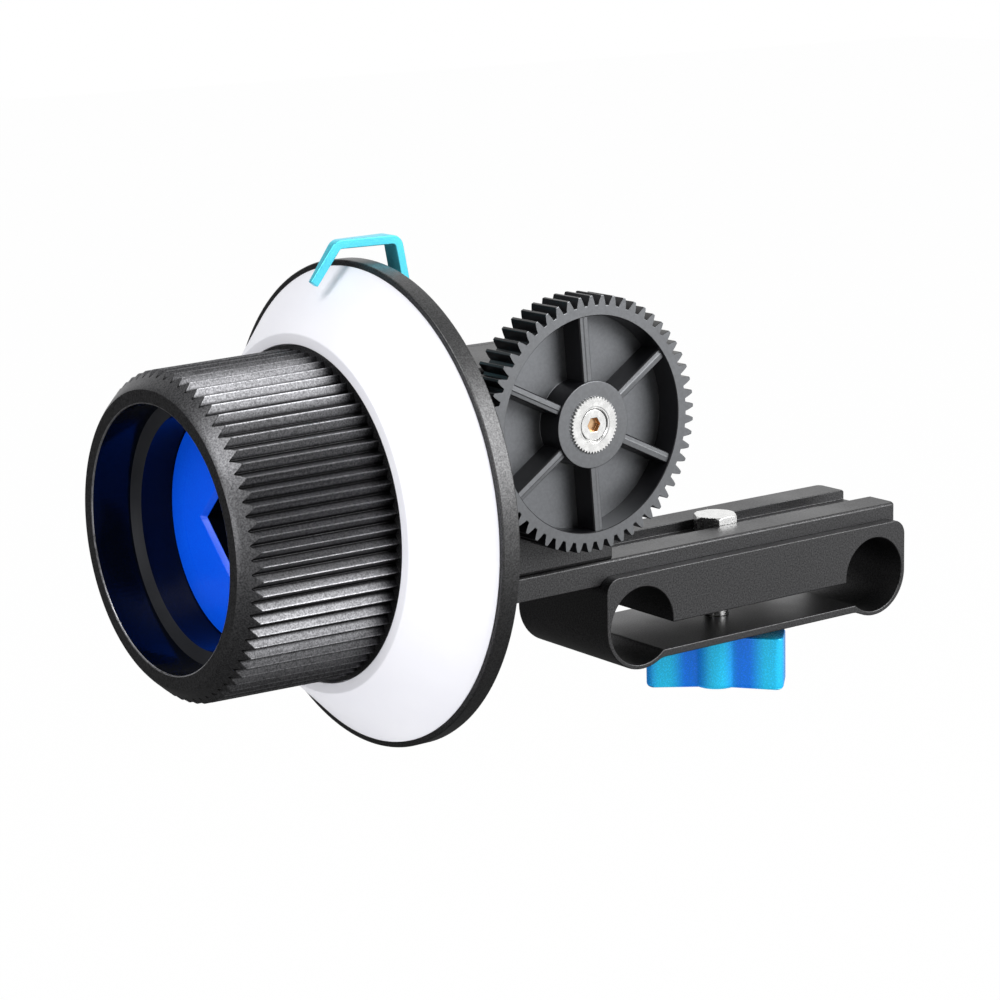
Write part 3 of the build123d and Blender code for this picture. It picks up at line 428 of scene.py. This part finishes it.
# Turns copies of one sector about its X axis, so that they close to a whole round
def repeatTree():
    tree = bpy.data.node_groups.new("repeatRound", "GeometryNodeTree")
    face = tree.interface
    face.new_socket("Sector", in_out="INPUT", socket_type="NodeSocketGeometry")
    sockets = {
        "count": face.new_socket("Count", in_out="INPUT", socket_type="NodeSocketInt").identifier,
        "turn": face.new_socket("First Turn", in_out="INPUT", socket_type="NodeSocketFloat").identifier,
        "join": face.new_socket("Join Distance", in_out="INPUT", socket_type="NodeSocketFloat").identifier,
        "finish": face.new_socket("Finish", in_out="INPUT", socket_type="NodeSocketMaterial").identifier,
    }
    face.new_socket("Round", in_out="OUTPUT", socket_type="NodeSocketGeometry")
    kinds = {
        "given": "NodeGroupInput", "points": "GeometryNodePoints", "index": "GeometryNodeInputIndex",
        "step": "ShaderNodeMath", "turn": "ShaderNodeMath", "angles": "ShaderNodeCombineXYZ",
        "rotation": "FunctionNodeEulerToRotation", "copies": "GeometryNodeInstanceOnPoints",
        "merge": "GeometryNodeMergeByDistance", "real": "GeometryNodeRealizeInstances",
        "finish": "GeometryNodeSetMaterial", "result": "NodeGroupOutput",
    }
    node = {name: tree.nodes.new(kind) for name, kind in kinds.items()}
    node["step"].operation = "DIVIDE"
    node["step"].inputs[0].default_value = 2 * math.pi
    node["turn"].operation = "MULTIPLY_ADD"
    link = tree.links.new
    link(node["given"].outputs["Count"], node["points"].inputs["Count"])
    link(node["given"].outputs["Count"], node["step"].inputs[1])
    link(node["index"].outputs[0], node["turn"].inputs[0])
    link(node["step"].outputs[0], node["turn"].inputs[1])
    link(node["given"].outputs["First Turn"], node["turn"].inputs[2])
    link(node["turn"].outputs[0], node["angles"].inputs["X"])
    link(node["angles"].outputs[0], node["rotation"].inputs[0])
    link(node["points"].outputs[0], node["copies"].inputs["Points"])
    link(node["given"].outputs["Sector"], node["copies"].inputs["Instance"])
    link(node["rotation"].outputs[0], node["copies"].inputs["Rotation"])
    link(node["copies"].outputs[0], node["real"].inputs[0])
    link(node["real"].outputs[0], node["merge"].inputs["Geometry"])
    link(node["given"].outputs["Join Distance"], node["merge"].inputs["Distance"])
    link(node["merge"].outputs[0], node["finish"].inputs["Geometry"])
    link(node["given"].outputs["Finish"], node["finish"].inputs["Material"])
    link(node["finish"].outputs[0], node["result"].inputs[0])
    return tree, sockets


roundTree, roundSockets = repeatTree()


def repeatedPiece(name, shape, count, centre, axes, material, firstTurn=0.0):
    piece = linkPiece(name, meshFrom(name, shape), material)
    repeat = piece.modifiers.new("round", "NODES")
    repeat.node_group = roundTree
    repeat[roundSockets["count"]] = count
    repeat[roundSockets["turn"]] = firstTurn
    repeat[roundSockets["join"]] = joinDistance
    repeat[roundSockets["finish"]] = material
    settle(piece)
    piece.data.transform(Matrix.Translation(centre) @ axes.to_4x4())
    return smoothFinish(cleanShape(piece), sharp=True)


# Dresses a CAD node: a merged copy with flat faces joined and its edges eased
def dressedNode(node, material, bevel):
    shape = bmesh.new()
    shape.from_mesh(frame["nodes"][node].data)
    bmesh.ops.remove_doubles(shape, verts=shape.verts, dist=solidJoin)
    bmesh.ops.dissolve_limit(shape, angle_limit=flatAngle, verts=shape.verts, edges=shape.edges)
    name = node + "_dressed"
    return smoothFinish(linkPiece(name, meshFrom(name, shape), material), bevel)


def paintFaces(piece, material, test):  # gives a further material to the faces that pass the test
    piece.data.materials.append(material)
    last = len(piece.data.materials) - 1
    for face in piece.data.polygons:
        if test(face.center, face.normal):
            face.material_index = last


def place(piece, body, slot, *nodes):
    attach(piece, body)
    if nodes:
        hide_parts(*nodes)


# ---- hand knob

knobLow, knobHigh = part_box("hand_knob")
handKnob = {
    "ridges": 72,
    "depth": 1.25 * mm,
    "parts": 7,
    "tipFront": 29.0 * mm,
    "tipBack": 29.6 * mm,
    "lipOuter": 26.2 * mm,
    "lipInner": 23.5 * mm,
    "chamfer": 3.2 * mm,
    "step": 7.7 * mm,
    "stepBevel": 0.9 * mm,
    "stepRadius": 21.1 * mm,
    "floor": 17.7 * mm,
    "floorWall": 3.0 * mm,
    "floorHole": 10.6 * mm,
    "rearRadius": 25.15 * mm,
    "flangeRadius": 30.15 * mm,
    "flange": 0.9 * mm,
}
knobEdges = {  # the small rounds of the outline, and how far the painted faces reach
    "flangeRun": 0.05 * mm,
    "ridgeBehind": 0.14 * mm,
    "ridgeAhead": 0.10 * mm,
    "chamferEnd": 0.75 * mm,
    "lipStart": 0.22 * mm,
    "lipRise": 0.12 * mm,
    "lipFace": 0.2 * mm,
    "lipRound": 0.25 * mm,
    "lipTurn": 0.08 * mm,
    "boreSlack": 0.02 * mm,
    "lipZone": 0.2 * mm,
    "chamferNormal": -0.4,
    "stepNormal": 0.15,
}
# places across one ridge, from valley to valley, with the dip below the tip as a share of the depth
ridgeAcross = (
    (0.0, 0.97), (0.05, 0.93), (0.25, 0.5), (0.455, 0.07), (0.5, 0.02),
    (0.545, 0.07), (0.75, 0.5), (0.95, 0.93), (1.0, 0.97),
)


def knobSector():
    front, back = knobLow.x, knobHigh.x
    slope = (handKnob["tipFront"] - handKnob["lipOuter"]) / handKnob["chamfer"]
    spread = (handKnob["tipBack"] - handKnob["tipFront"]) / (back - front)
    rear = back + handKnob["flange"]
    step = front + handKnob["step"]
    floor = front + handKnob["floor"]
    floorBack = floor + handKnob["floorWall"]
    lipOuter, lipInner = handKnob["lipOuter"], handKnob["lipInner"]
    grid = []
    for share, dip in ridgeAcross:
        angle = 2 * math.pi * (share - 0.5) / handKnob["ridges"]
        base = handKnob["tipFront"] - dip * handKnob["depth"]
        meet = front + (base - lipOuter) / (slope - spread)
        meetRadius = base + spread * (meet - front)
        outline = [
            (rear, handKnob["flangeRadius"]),
            (back, handKnob["flangeRadius"]),
            (back - knobEdges["flangeRun"], base + spread * (back - front)),
        ]
        for part in range(1, handKnob["parts"]):
            along = back + (meet - back) * part / handKnob["parts"]
            outline.append((along, base + spread * (along - front)))
        outline += [
            (meet + knobEdges["ridgeBehind"], meetRadius + spread * knobEdges["ridgeBehind"]),
            (meet - knobEdges["ridgeAhead"], meetRadius - slope * knobEdges["ridgeAhead"]),
            (front + knobEdges["chamferEnd"], lipOuter + slope * knobEdges["chamferEnd"]),
            (front + knobEdges["lipStart"], lipOuter + slope * knobEdges["lipRise"]),
            (front, lipOuter - knobEdges["lipFace"]),
            (front, lipInner + knobEdges["lipRound"]),
            (front + knobEdges["lipTurn"], lipInner + knobEdges["lipTurn"]),
            (front + knobEdges["lipRound"], lipInner),
            (step, lipInner),
            (step + handKnob["stepBevel"], handKnob["stepRadius"]),
            (floor, handKnob["stepRadius"]),
            (floor, handKnob["floorHole"]),
            (floorBack, handKnob["floorHole"]),
            (floorBack, handKnob["rearRadius"]),
            (rear, handKnob["rearRadius"]),
        ]
        grid.append([turnedPoint(axial, radius, angle) for axial, radius in outline])
    return gridFaces(grid, False)


knobMiddle = Vector((0, knobCentre.y, knobCentre.z))
knobPiece = repeatedPiece("knobRidges", knobSector(), handKnob["ridges"], knobMiddle, alongX, ridgeBlack)


def knobReach(spot):  # distance from the axis of the hand knob
    return math.hypot(spot.y - knobMiddle.y, spot.z - knobMiddle.z)


def onChamfer(spot, normal):
    return normal.x < knobEdges["chamferNormal"]


def insideBore(spot, normal):
    behind = spot.x > knobLow.x + knobEdges["lipZone"]
    return behind and knobReach(spot) < handKnob["lipInner"] + knobEdges["boreSlack"]


def onStep(spot, normal):
    between = handKnob["stepRadius"] < knobReach(spot) < handKnob["lipInner"]
    return between and abs(normal.x) > knobEdges["stepNormal"] and insideBore(spot, normal)


def onLipEdge(spot, normal):
    ahead = spot.x < knobLow.x + knobEdges["lipZone"]
    return ahead and knobReach(spot) < handKnob["lipInner"] + knobEdges["lipZone"]


paintFaces(knobPiece, chamferBlack, onChamfer)
# painted shade on the faces inside the knob's bore
paintFaces(knobPiece, boreBlackShade, insideBore)
# a painted reflection on the step inside the bore
paintFaces(knobPiece, stepReflectionGrey, onStep)
# a painted highlight along the lip's inner edge
paintFaces(knobPiece, lipEdgeHighlight, onLipEdge)
place(knobPiece, "knob", "black_anodised", "hand_knob")
print("hand knob:", len(knobPiece.data.polygons), "faces")


# ---- crank socket

discLow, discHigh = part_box("crank_socket")
crankSocket = {
    "radius": 21.05 * mm,
    "disc": 3.0 * mm,
    "bossRadius": 10.5 * mm,
    "side": 14.1 * mm,
    "mouth": 15.8 * mm,
    "chamfer": 0.85 * mm,
    "depth": 9.0 * mm,
    "ring": 16.6 * mm,
    "ringRise": 0.12 * mm,
    "ringSlope": 0.15 * mm,
    "mouthSlope": 0.12 * mm,
    "edge": 0.3 * mm,
    "ease": 0.1 * mm,
    "pinch": 0.02,
    "darkReach": 10.2 * mm,
    "darkDepth": 0.15 * mm,
    "sides": 192,
}


def squareReach(side, angle):  # from the middle to the edge of a square that stands on its corner
    turned = abs(math.cos(angle)) + abs(math.sin(angle))
    return side / math.sqrt(2) / turned


def socketShape():
    front, back = discLow.x, discHigh.x
    disc = front + crankSocket["disc"]
    raised = front + crankSocket["ringRise"]
    chamfer = front + crankSocket["chamfer"]
    bottom = front + crankSocket["depth"]
    ease = crankSocket["ease"]
    grid = []
    for side in range(crankSocket["sides"]):
        angle = 2 * math.pi * side / crankSocket["sides"]
        mouth = squareReach(crankSocket["mouth"], angle)
        hole = squareReach(crankSocket["side"], angle)
        outline = [
            (back, crankSocket["bossRadius"]),
            (disc, crankSocket["bossRadius"]),
            (disc, crankSocket["radius"]),
            (front + crankSocket["edge"], crankSocket["radius"]),
            (front, crankSocket["radius"] - crankSocket["edge"]),
            (front, crankSocket["ring"] + crankSocket["ringSlope"]),
            (raised, crankSocket["ring"]),
            (raised, mouth + crankSocket["mouthSlope"]),
            (raised + ease, mouth),
            (chamfer, hole + ease),
            (chamfer + ease, hole),
            (bottom, hole),
            (bottom, hole * crankSocket["pinch"]),
            (back, hole * crankSocket["pinch"]),
        ]
        grid.append([turnedPoint(axial, radius, angle) for axial, radius in outline])
    return gridFaces(grid, True)


def insideSquare(spot, normal):
    deep = spot.x > discLow.x + crankSocket["chamfer"] + crankSocket["darkDepth"]
    return deep and knobReach(spot) < crankSocket["darkReach"]


socketMesh = meshFrom("crankSocket", socketShape())
socketMesh.transform(Matrix.Translation(knobMiddle))
socketPiece = smoothFinish(cleanShape(linkPiece("crankSocket", socketMesh, socketBlue)))
# painted shade deep inside the square hole of the blue socket
paintFaces(socketPiece, boreBlackShade, insideSquare)
place(socketPiece, "knob", "blue_anodised", "crank_socket")
print("crank socket:", len(socketPiece.data.polygons), "faces")


# ---- marking dial and back plate

dialLow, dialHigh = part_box("marking_dial")
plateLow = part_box("dial_backplate")[0]
markingDial = {
    "hub": 16.1 * mm,
    "collarOuter": 32.3 * mm,
    "collarInner": 30.3 * mm,
    "collarRise": 1.2 * mm,
    "rim": 43.2 * mm,
    "wall": 2.0 * mm,
}
backPlate = {
    "radius": 44.2 * mm,
    "width": 3.5 * mm,
    "hub": 16.0 * mm,
    "boss": 10.6 * mm,
    "bossDepth": 6.0 * mm,
    "bore": 4.0 * mm,
    "rearHub": 11.0 * mm,
    "rearLength": 1.7 * mm,
}
dialFront, dialBack = dialLow.x, dialHigh.x
collarFace = dialFront + markingDial["collarRise"]
coneSlope = (markingDial["rim"] - markingDial["collarOuter"]) / (dialBack - dialFront)
innerFace = collarFace + markingDial["wall"]
dialInner = markingDial["collarOuter"] + coneSlope * (innerFace - dialFront) - 2 * markingDial["wall"]
dialPiece = turnedPiece(
    "markingDial",
    [
        (collarFace, markingDial["hub"]),
        (collarFace, markingDial["collarInner"]),
        (dialFront, markingDial["collarInner"]),
        (dialFront, markingDial["collarOuter"]),
        (dialBack, markingDial["rim"]),
        (dialBack, markingDial["rim"] - 2 * markingDial["wall"]),
        (innerFace, dialInner),
        (innerFace, markingDial["hub"]),
    ],
    knobMiddle, alongX, dialWhite, soft=0.2 * mm,
)
place(dialPiece, "knob", "white_dial", "marking_dial")

plateFront = dialBack
plateRear = plateFront + backPlate["width"]
platePiece = turnedPiece(
    "backPlate",
    [
        (plateLow.x, backPlate["boss"]),
        (plateLow.x, backPlate["hub"]),
        (plateFront, backPlate["hub"]),
        (plateFront, backPlate["radius"]),
        (plateRear, backPlate["radius"]),
        (plateRear, backPlate["rearHub"]),
        (plateRear + backPlate["rearLength"], backPlate["rearHub"]),
        (plateRear + backPlate["rearLength"], backPlate["bore"]),
        (plateLow.x + backPlate["bossDepth"], backPlate["bore"]),
        (plateLow.x + backPlate["bossDepth"], backPlate["boss"]),
    ],
    knobMiddle, alongX, plateBlack, soft=0.3 * mm, sides=216,
)
place(platePiece, "knob", "black_anodised", "dial_backplate")
print("dial and back plate ready")


# ---- drive gear

gearLow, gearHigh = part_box("drive_gear")
driveGear = {
    "teeth": 57,
    "module": 0.8 * mm,
    "share": 0.47,
    "pressure": math.radians(20),
    "rim": 19.9 * mm,
    "hub": 8.0 * mm,
    "web": 2.0 * mm,
    "bore": 3.0 * mm,
    "spigot": 4.0 * mm,
    "spigotDepth": 2.0 * mm,
    "edge": 0.14 * mm,
    "edgeShare": 0.3,
    "footTurn": 0.003,
    "rootTurn": 0.001,
    "rootRound": 0.12 * mm,
    "tipRound": 0.06 * mm,
    "flankParts": 5,
    "overlap": 0.1 * mm,
    "faceNormal": 0.80,
    "webBehind": 1.0 * mm,
}
gearRib = {
    "count": 6,
    "firstTurn": math.radians(34.0),
    "width": 2.0 * mm,
    "drop": 0.5 * mm,
    "draft": 0.15 * mm,
    "intoWeb": 0.3 * mm,
    "intoHub": 0.6 * mm,
    "intoRim": 0.5 * mm,
    "roof": (  # millimetres below the top and across the rib
        (0.25, -1.0), (0.06, -0.8), (0.0, 0.05), (0.10, 0.25), (0.14, 0.8), (0.34, 1.0),
    ),
}
gearMiddle = Vector((gearCentre.x, 0, gearCentre.z))
gearFront, gearBack = gearLow.y, gearHigh.y
pitchRadius = driveGear["module"] * driveGear["teeth"] / 2


def toothHalf(radius):  # half the angle of an involute tooth at a radius
    baseRadius = pitchRadius * math.cos(driveGear["pressure"])
    flank = math.acos(min(1.0, baseRadius / radius))
    involute = math.tan(driveGear["pressure"]) - driveGear["pressure"] - math.tan(flank) + flank
    return driveGear["share"] * math.pi / driveGear["teeth"] + involute


def toothFlank():  # (angle, radius) points from the middle of one gap over a tooth to the next
    root = pitchRadius - 1.25 * driveGear["module"]
    tip = pitchRadius + driveGear["module"]
    half = math.pi / driveGear["teeth"]
    foot = toothHalf(root)
    flank = [
        (half, root), ((half + foot) / 2, root), (foot + driveGear["footTurn"], root),
        (foot - driveGear["rootTurn"], root + driveGear["rootRound"]),
    ]
    for part in range(1, driveGear["flankParts"]):
        radius = root + (tip - root) * part / driveGear["flankParts"]
        flank.append((toothHalf(radius), radius))
    shoulder = tip - driveGear["tipRound"]
    flank += [(toothHalf(shoulder), shoulder), (toothHalf(tip) - driveGear["footTurn"], tip), (0.0, tip)]
    return flank + [(-angle, radius) for angle, radius in reversed(flank[:-1])]


def gearSector():
    flank = toothFlank()
    half = math.pi / driveGear["teeth"]
    edge, inner = driveGear["edge"], driveGear["rim"]
    ease = driveGear["edgeShare"] * edge
    grid = []
    for step, (angle, radius) in enumerate(flank):
        outline = [
            (gearBack, inner), (gearBack, radius - edge), (gearBack - ease, radius - ease),
            (gearBack - edge, radius), (gearFront + edge, radius), (gearFront + ease, radius - ease),
            (gearFront, radius - edge), (gearFront, inner + edge), (gearFront + edge, inner),
        ]
        even = half * (1 - 2 * step / (len(flank) - 1))  # the inside of the rim is evenly divided
        column = []
        for axial, reach in outline:
            turn = math.pi / 2 + (even if reach < inner + 2 * edge else angle)
            column.append(turnedPoint(axial, reach, turn))
        grid.append(column)
    return gridFaces(grid, False)


def ribShape():  # one straight rib with a low roof along its top
    top = gearFront + gearRib["drop"]
    bottom = gearBack - driveGear["web"] + gearRib["intoWeb"]
    foot = gearRib["width"] / 2 + gearRib["draft"]
    inner, outer = driveGear["hub"] - gearRib["intoHub"], driveGear["rim"] + gearRib["intoRim"]
    roof = [(top + drop * mm, side * mm) for drop, side in gearRib["roof"]]
    outline = [(bottom, -foot), *roof, (bottom, foot)]
    shape = bmesh.new()
    ends = [
        [shape.verts.new((axial, reach, side)) for axial, side in outline]
        for reach in (inner, outer)
    ]
    for here in range(len(outline)):
        ahead = (here + 1) % len(outline)
        shape.faces.new((ends[0][here], ends[0][ahead], ends[1][ahead], ends[1][here]))
    shape.faces.new(ends[0])
    shape.faces.new(ends[1])
    return shape


def onSide(spot, normal):
    return abs(normal.y) < driveGear["faceNormal"]


def onWeb(spot, normal):
    return not onSide(spot, normal) and spot.y > gearFront + driveGear["webBehind"]


rimPiece = repeatedPiece("gearRim", gearSector(), driveGear["teeth"], gearMiddle, alongY, gearPlastic)
ribPiece = repeatedPiece(
    "gearRibs", ribShape(), gearRib["count"], gearMiddle, alongY, gearPlastic, gearRib["firstTurn"],
)
webFace = gearBack - driveGear["web"]
webRim = driveGear["rim"] + driveGear["overlap"]
spigotEnd = gearFront + driveGear["spigotDepth"]
webPiece = turnedPiece(
    "gearWeb",
    [
        (gearBack, driveGear["bore"]),
        (gearBack, webRim),
        (webFace, webRim),
        (webFace, driveGear["hub"]),
        (gearFront, driveGear["hub"]),
        (gearFront, driveGear["spigot"]),
        (spigotEnd, driveGear["spigot"]),
        (spigotEnd, driveGear["bore"]),
    ],
    gearMiddle, alongY, gearPlastic,
)
gearPieces = (rimPiece, ribPiece, webPiece)
# the sides of the gear get painted shade, and the web behind the front a painted lighter grey
for piece in gearPieces:
    paintFaces(piece, gearSideShade, onSide)
paintFaces(webPiece, gearWebLitGrey, onWeb)
place(rimPiece, "output", "gear_plastic", "drive_gear")
place(ribPiece, "output", "gear_plastic")
place(webPiece, "output", "gear_plastic")
print("drive gear:", sum(len(piece.data.polygons) for piece in gearPieces), "faces")


# ---- gear nut and screw

nutLow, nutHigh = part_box("gear_nut")
gearNut = {
    "serrations": 48,
    "radius": 5.3 * mm,
    "depth": 0.35 * mm,
    "height": 0.4 * mm,
    "recess": 3.0 * mm,
    "recessDepth": 1.8 * mm,
    "bore": 1.5 * mm,
    "spigot": 4.0 * mm,
    "land": 3.35 * mm,
    "landDrop": 0.08 * mm,
    "landEdge": 0.1 * mm,
    "tipRound": 0.12 * mm,
    "tipEase": 0.1 * mm,
    "mouth": 0.25 * mm,
    "mouthEase": 0.12 * mm,
}
# places across one serration, with the dip below the tip as a share of the depth
serrationAcross = (
    (0.0, 1.0), (0.18, 0.9), (0.34, 0.1), (0.5, 0.0), (0.66, 0.1), (0.82, 0.9), (1.0, 1.0),
)


def nutSector():
    front, back = nutLow.y, nutHigh.y
    flange = front + gearNut["height"]
    recess = front + gearNut["recessDepth"]
    land = front + gearNut["landDrop"]
    grid = []
    for share, dip in serrationAcross:
        angle = 2 * math.pi * share / gearNut["serrations"]
        radius = gearNut["radius"] - dip * gearNut["depth"]
        outline = [
            (front, gearNut["land"] + gearNut["landEdge"]),
            (front, radius - gearNut["tipRound"]),
            (front + gearNut["tipEase"], radius),
            (flange, radius),
            (flange, gearNut["spigot"]),
            (back, gearNut["spigot"]),
            (back, gearNut["bore"]),
            (recess, gearNut["bore"]),
            (recess, gearNut["recess"]),
            (front + gearNut["mouth"], gearNut["recess"]),
            (land, gearNut["recess"] + gearNut["mouthEase"]),
            (land, gearNut["land"]),
        ]
        grid.append([turnedPoint(axial, reach, angle) for axial, reach in outline])
    return gridFaces(grid, False)


nutPiece = repeatedPiece("gearNut", nutSector(), gearNut["serrations"], gearMiddle, alongY, nutSteel)
place(nutPiece, "output", "bright_steel", "gear_nut")
print("gear nut ready")


# ---- pieces whose solids are right: merged copies with eased edges

dressing = (  # node, body, slot, finish, ease of the edges in millimetres
    ("clamp", "rod_clamp", "black_anodised", blackAnodised, 0.22),
    ("clamp_bolt", "rod_clamp", "bright_steel", boltSteel, 0.12),
    ("thumb_knob", "thumb_knob", "cyan_anodised", cyanAnodised, 0.35),
    ("arm_bar", "arm", "black_anodised", blackAnodised, 0.15),
    ("gearbox_housing", "arm", "black_anodised", blackAnodised, 0.18),
    ("pointer", "arm", "cyan_anodised", cyanPaintedHighlight, 0.18),
    ("gear_screw", "output", "steel", nutSteel, 0.10),
)
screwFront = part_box("gear_screw")[0].y
screwSocket = {"reach": 1.5 * mm, "behind": 0.05 * mm}


def inScrewSocket(spot, normal):
    reach = math.hypot(spot.x - gearMiddle.x, spot.z - gearMiddle.z)
    return reach < screwSocket["reach"] and spot.y > screwFront + screwSocket["behind"]


for node, body, slot, material, bevel in dressing:
    piece = dressedNode(node, material, bevel * mm)
    # the socket of the gear screw gets a painted glint
    if node == "gear_screw":
        paintFaces(piece, screwSocketGlint, inScrewSocket)
    place(piece, body, slot, node)
print("dressed:", len(dressing), "pieces")


# ---- inner pieces and the rear cover keep their own solids, with the finish of their slot

slotFinish = {
    "black_anodised": blackAnodised,
    "cyan_anodised": cyanAnodised,
    "blue_anodised": socketBlue,
    "white_dial": dialWhite,
    "gear_plastic": gearPlastic,
    "washer_plastic": washerPlastic,
    "steel": shaftSteel,
    "bright_steel": boltSteel,
    "brass": gearBrass,
}
for entry in frame["record"]["subparts"]:
    for holder in frame["nodes"][entry["node"]].material_slots:
        holder.material = slotFinish[entry["material_slot"]]
print("inner pieces finished")


# ---- floor, light and camera

studio = {
    "floorDrop": 0.12,
    "floorSize": 6.0,
    "floorSeen": 0.985,
    "floorGloss": 0.9,
    "floorDark": 0.05,
    "floorNear": 0.1,
    "brightSide": (0.60, -0.80, 0.0),
    "sideSpan": (-0.35, 0.75),  # metres along the bright side
    "reachSpan": (0.25, 0.60),  # metres from the middle
    "worldLow": 0.10,
    "worldBack": 1.0,
    "worldTop": 0.35,
    "backward": (0.585, 0.785, 0.20),
    "backSpan": (0.45, 0.95),
    "topSpan": (0.2, 1.0),
    "lamps": (  # name, place, aim, size, power
        ("key", (0.50, -0.80, 0.52), (-0.04, 0.01, 0.02), 0.80, 14.0),
        ("leftTop", (-0.85, -0.22, 0.85), (-0.08, 0.01, 0.02), 0.55, 7.0),
        ("leftLow", (-1.05, -0.30, 0.10), (-0.08, 0.01, 0.02), 0.50, 2.5),
    ),
}


# The camera sees the floor almost white. For reflections the floor glows as painted light, bright only far out on
# the bright side and dim near the unit as a painted shadow
def floorFinish():
    material, tree, shader, place = startMaterial("floorWhite", (0.80, 0.80, 0.80), Roughness=0.9)
    material.cycles.emission_sampling = "NONE"
    glow = tree.nodes.new("ShaderNodeEmission")
    mix = tree.nodes.new("ShaderNodeMixShader")
    rays = tree.nodes.new("ShaderNodeLightPath").outputs
    cameraShare = addMath(tree, "MULTIPLY", rays["Is Camera Ray"], studio["floorSeen"])
    share = addMath(tree, "MULTIPLY_ADD", rays["Is Glossy Ray"], studio["floorGloss"], cameraShare)
    side = addMeasure(tree, "DOT_PRODUCT", place, studio["brightSide"])
    sideLight = addRange(tree, side, *studio["sideSpan"], studio["floorDark"], 1.0)
    reach = addMeasure(tree, "LENGTH", place)
    reachLight = addRange(tree, reach, *studio["reachSpan"], studio["floorNear"], 1.0)
    lit = addMath(tree, "MULTIPLY", sideLight, reachLight)
    power = addMath(tree, "MAXIMUM", lit, rays["Is Camera Ray"])
    tree.links.new(power, glow.inputs["Strength"])
    for slot, source in enumerate((share, shader.outputs[0], glow.outputs[0])):
        tree.links.new(source, mix.inputs[slot])
    tree.links.new(mix.outputs[0], tree.nodes["Material Output"].inputs["Surface"])
    return material


floorShape = bmesh.new()
bmesh.ops.create_grid(floorShape, x_segments=2, y_segments=2, size=studio["floorSize"] / 2)
floorMesh = meshFrom("floor", floorShape)
floorMesh.transform(Matrix.Translation((0, 0, cadBox[0][2] - studio["floorDrop"])))
linkPiece("floor", floorMesh, floorFinish())

# The world is bright behind the unit and above it, and white to the camera
world = bpy.data.worlds.new("studio")
bpy.context.scene.world = world
world.use_nodes = True
sky = world.node_tree
skyGlow = sky.nodes["Background"]
skyGlow.inputs["Color"].default_value = (1, 1, 1, 1)
skyPlace = sky.nodes.new("ShaderNodeTexCoord").outputs["Generated"]
skyAlong = addMeasure(sky, "DOT_PRODUCT", skyPlace, studio["backward"])
skyBack = addRange(sky, skyAlong, *studio["backSpan"], studio["worldLow"], studio["worldBack"])
skyHeight = sky.nodes.new("ShaderNodeSeparateXYZ")
sky.links.new(skyPlace, skyHeight.inputs[0])
skyTop = addRange(sky, skyHeight.outputs["Z"], *studio["topSpan"], 0.0, studio["worldTop"])
skyRays = sky.nodes.new("ShaderNodeLightPath")
skySeen = addMath(sky, "MAXIMUM", addMath(sky, "ADD", skyBack, skyTop), skyRays.outputs["Is Camera Ray"])
sky.links.new(skySeen, skyGlow.inputs["Strength"])

for name, spot, aim, size, power in studio["lamps"]:
    lamp = bpy.data.lights.new(name, "AREA")
    lamp.size = size
    lamp.energy = power
    holder = bpy.data.objects.new(name, lamp)
    bpy.context.scene.collection.objects.link(holder)
    holder.location = spot
    holder.rotation_euler = (Vector(aim) - Vector(spot)).to_track_quat("-Z", "Y").to_euler()

view = {  # solved from the rod bores, the gear and the dial in the photograph
    "place": (-354.27, -401.94, 139.83),  # in millimetres
    "azimuth": -36.79,
    "elevation": 11.97,
    "roll": -1.15,
    "focal": 2826.5,  # in pixels of a picture 1000 wide
    "middle": (539.2, 470.4),
    "width": 1000.0,
    "sensor": 36.0,
}
azimuth, elevation, roll = (math.radians(view[key]) for key in ("azimuth", "elevation", "roll"))
backward = Vector((
    math.sin(azimuth) * math.cos(elevation), -math.cos(azimuth) * math.cos(elevation), math.sin(elevation),
))
level = (-backward).cross(Vector((0, 0, 1))).normalized()
upright = level.cross(-backward)
right = level * math.cos(roll) + upright * math.sin(roll)
upward = upright * math.cos(roll) - level * math.sin(roll)
lens = bpy.data.cameras.new("camera")
lens.sensor_width = view["sensor"]
lens.lens = view["focal"] * view["sensor"] / view["width"]
lens.shift_x = 0.5 - view["middle"][0] / view["width"]
lens.shift_y = view["middle"][1] / view["width"] - 0.5
lens.clip_start = 0.01
camera = bpy.data.objects.new("camera", lens)
bpy.context.scene.collection.objects.link(camera)
turned = Matrix((right, upward, backward)).transposed().to_4x4()
camera.matrix_world = Matrix.Translation(Vector(view["place"]) * mm) @ turned
bpy.context.scene.camera = camera
bpy.context.scene.view_settings.view_transform = "Standard"
print("camera and light ready")
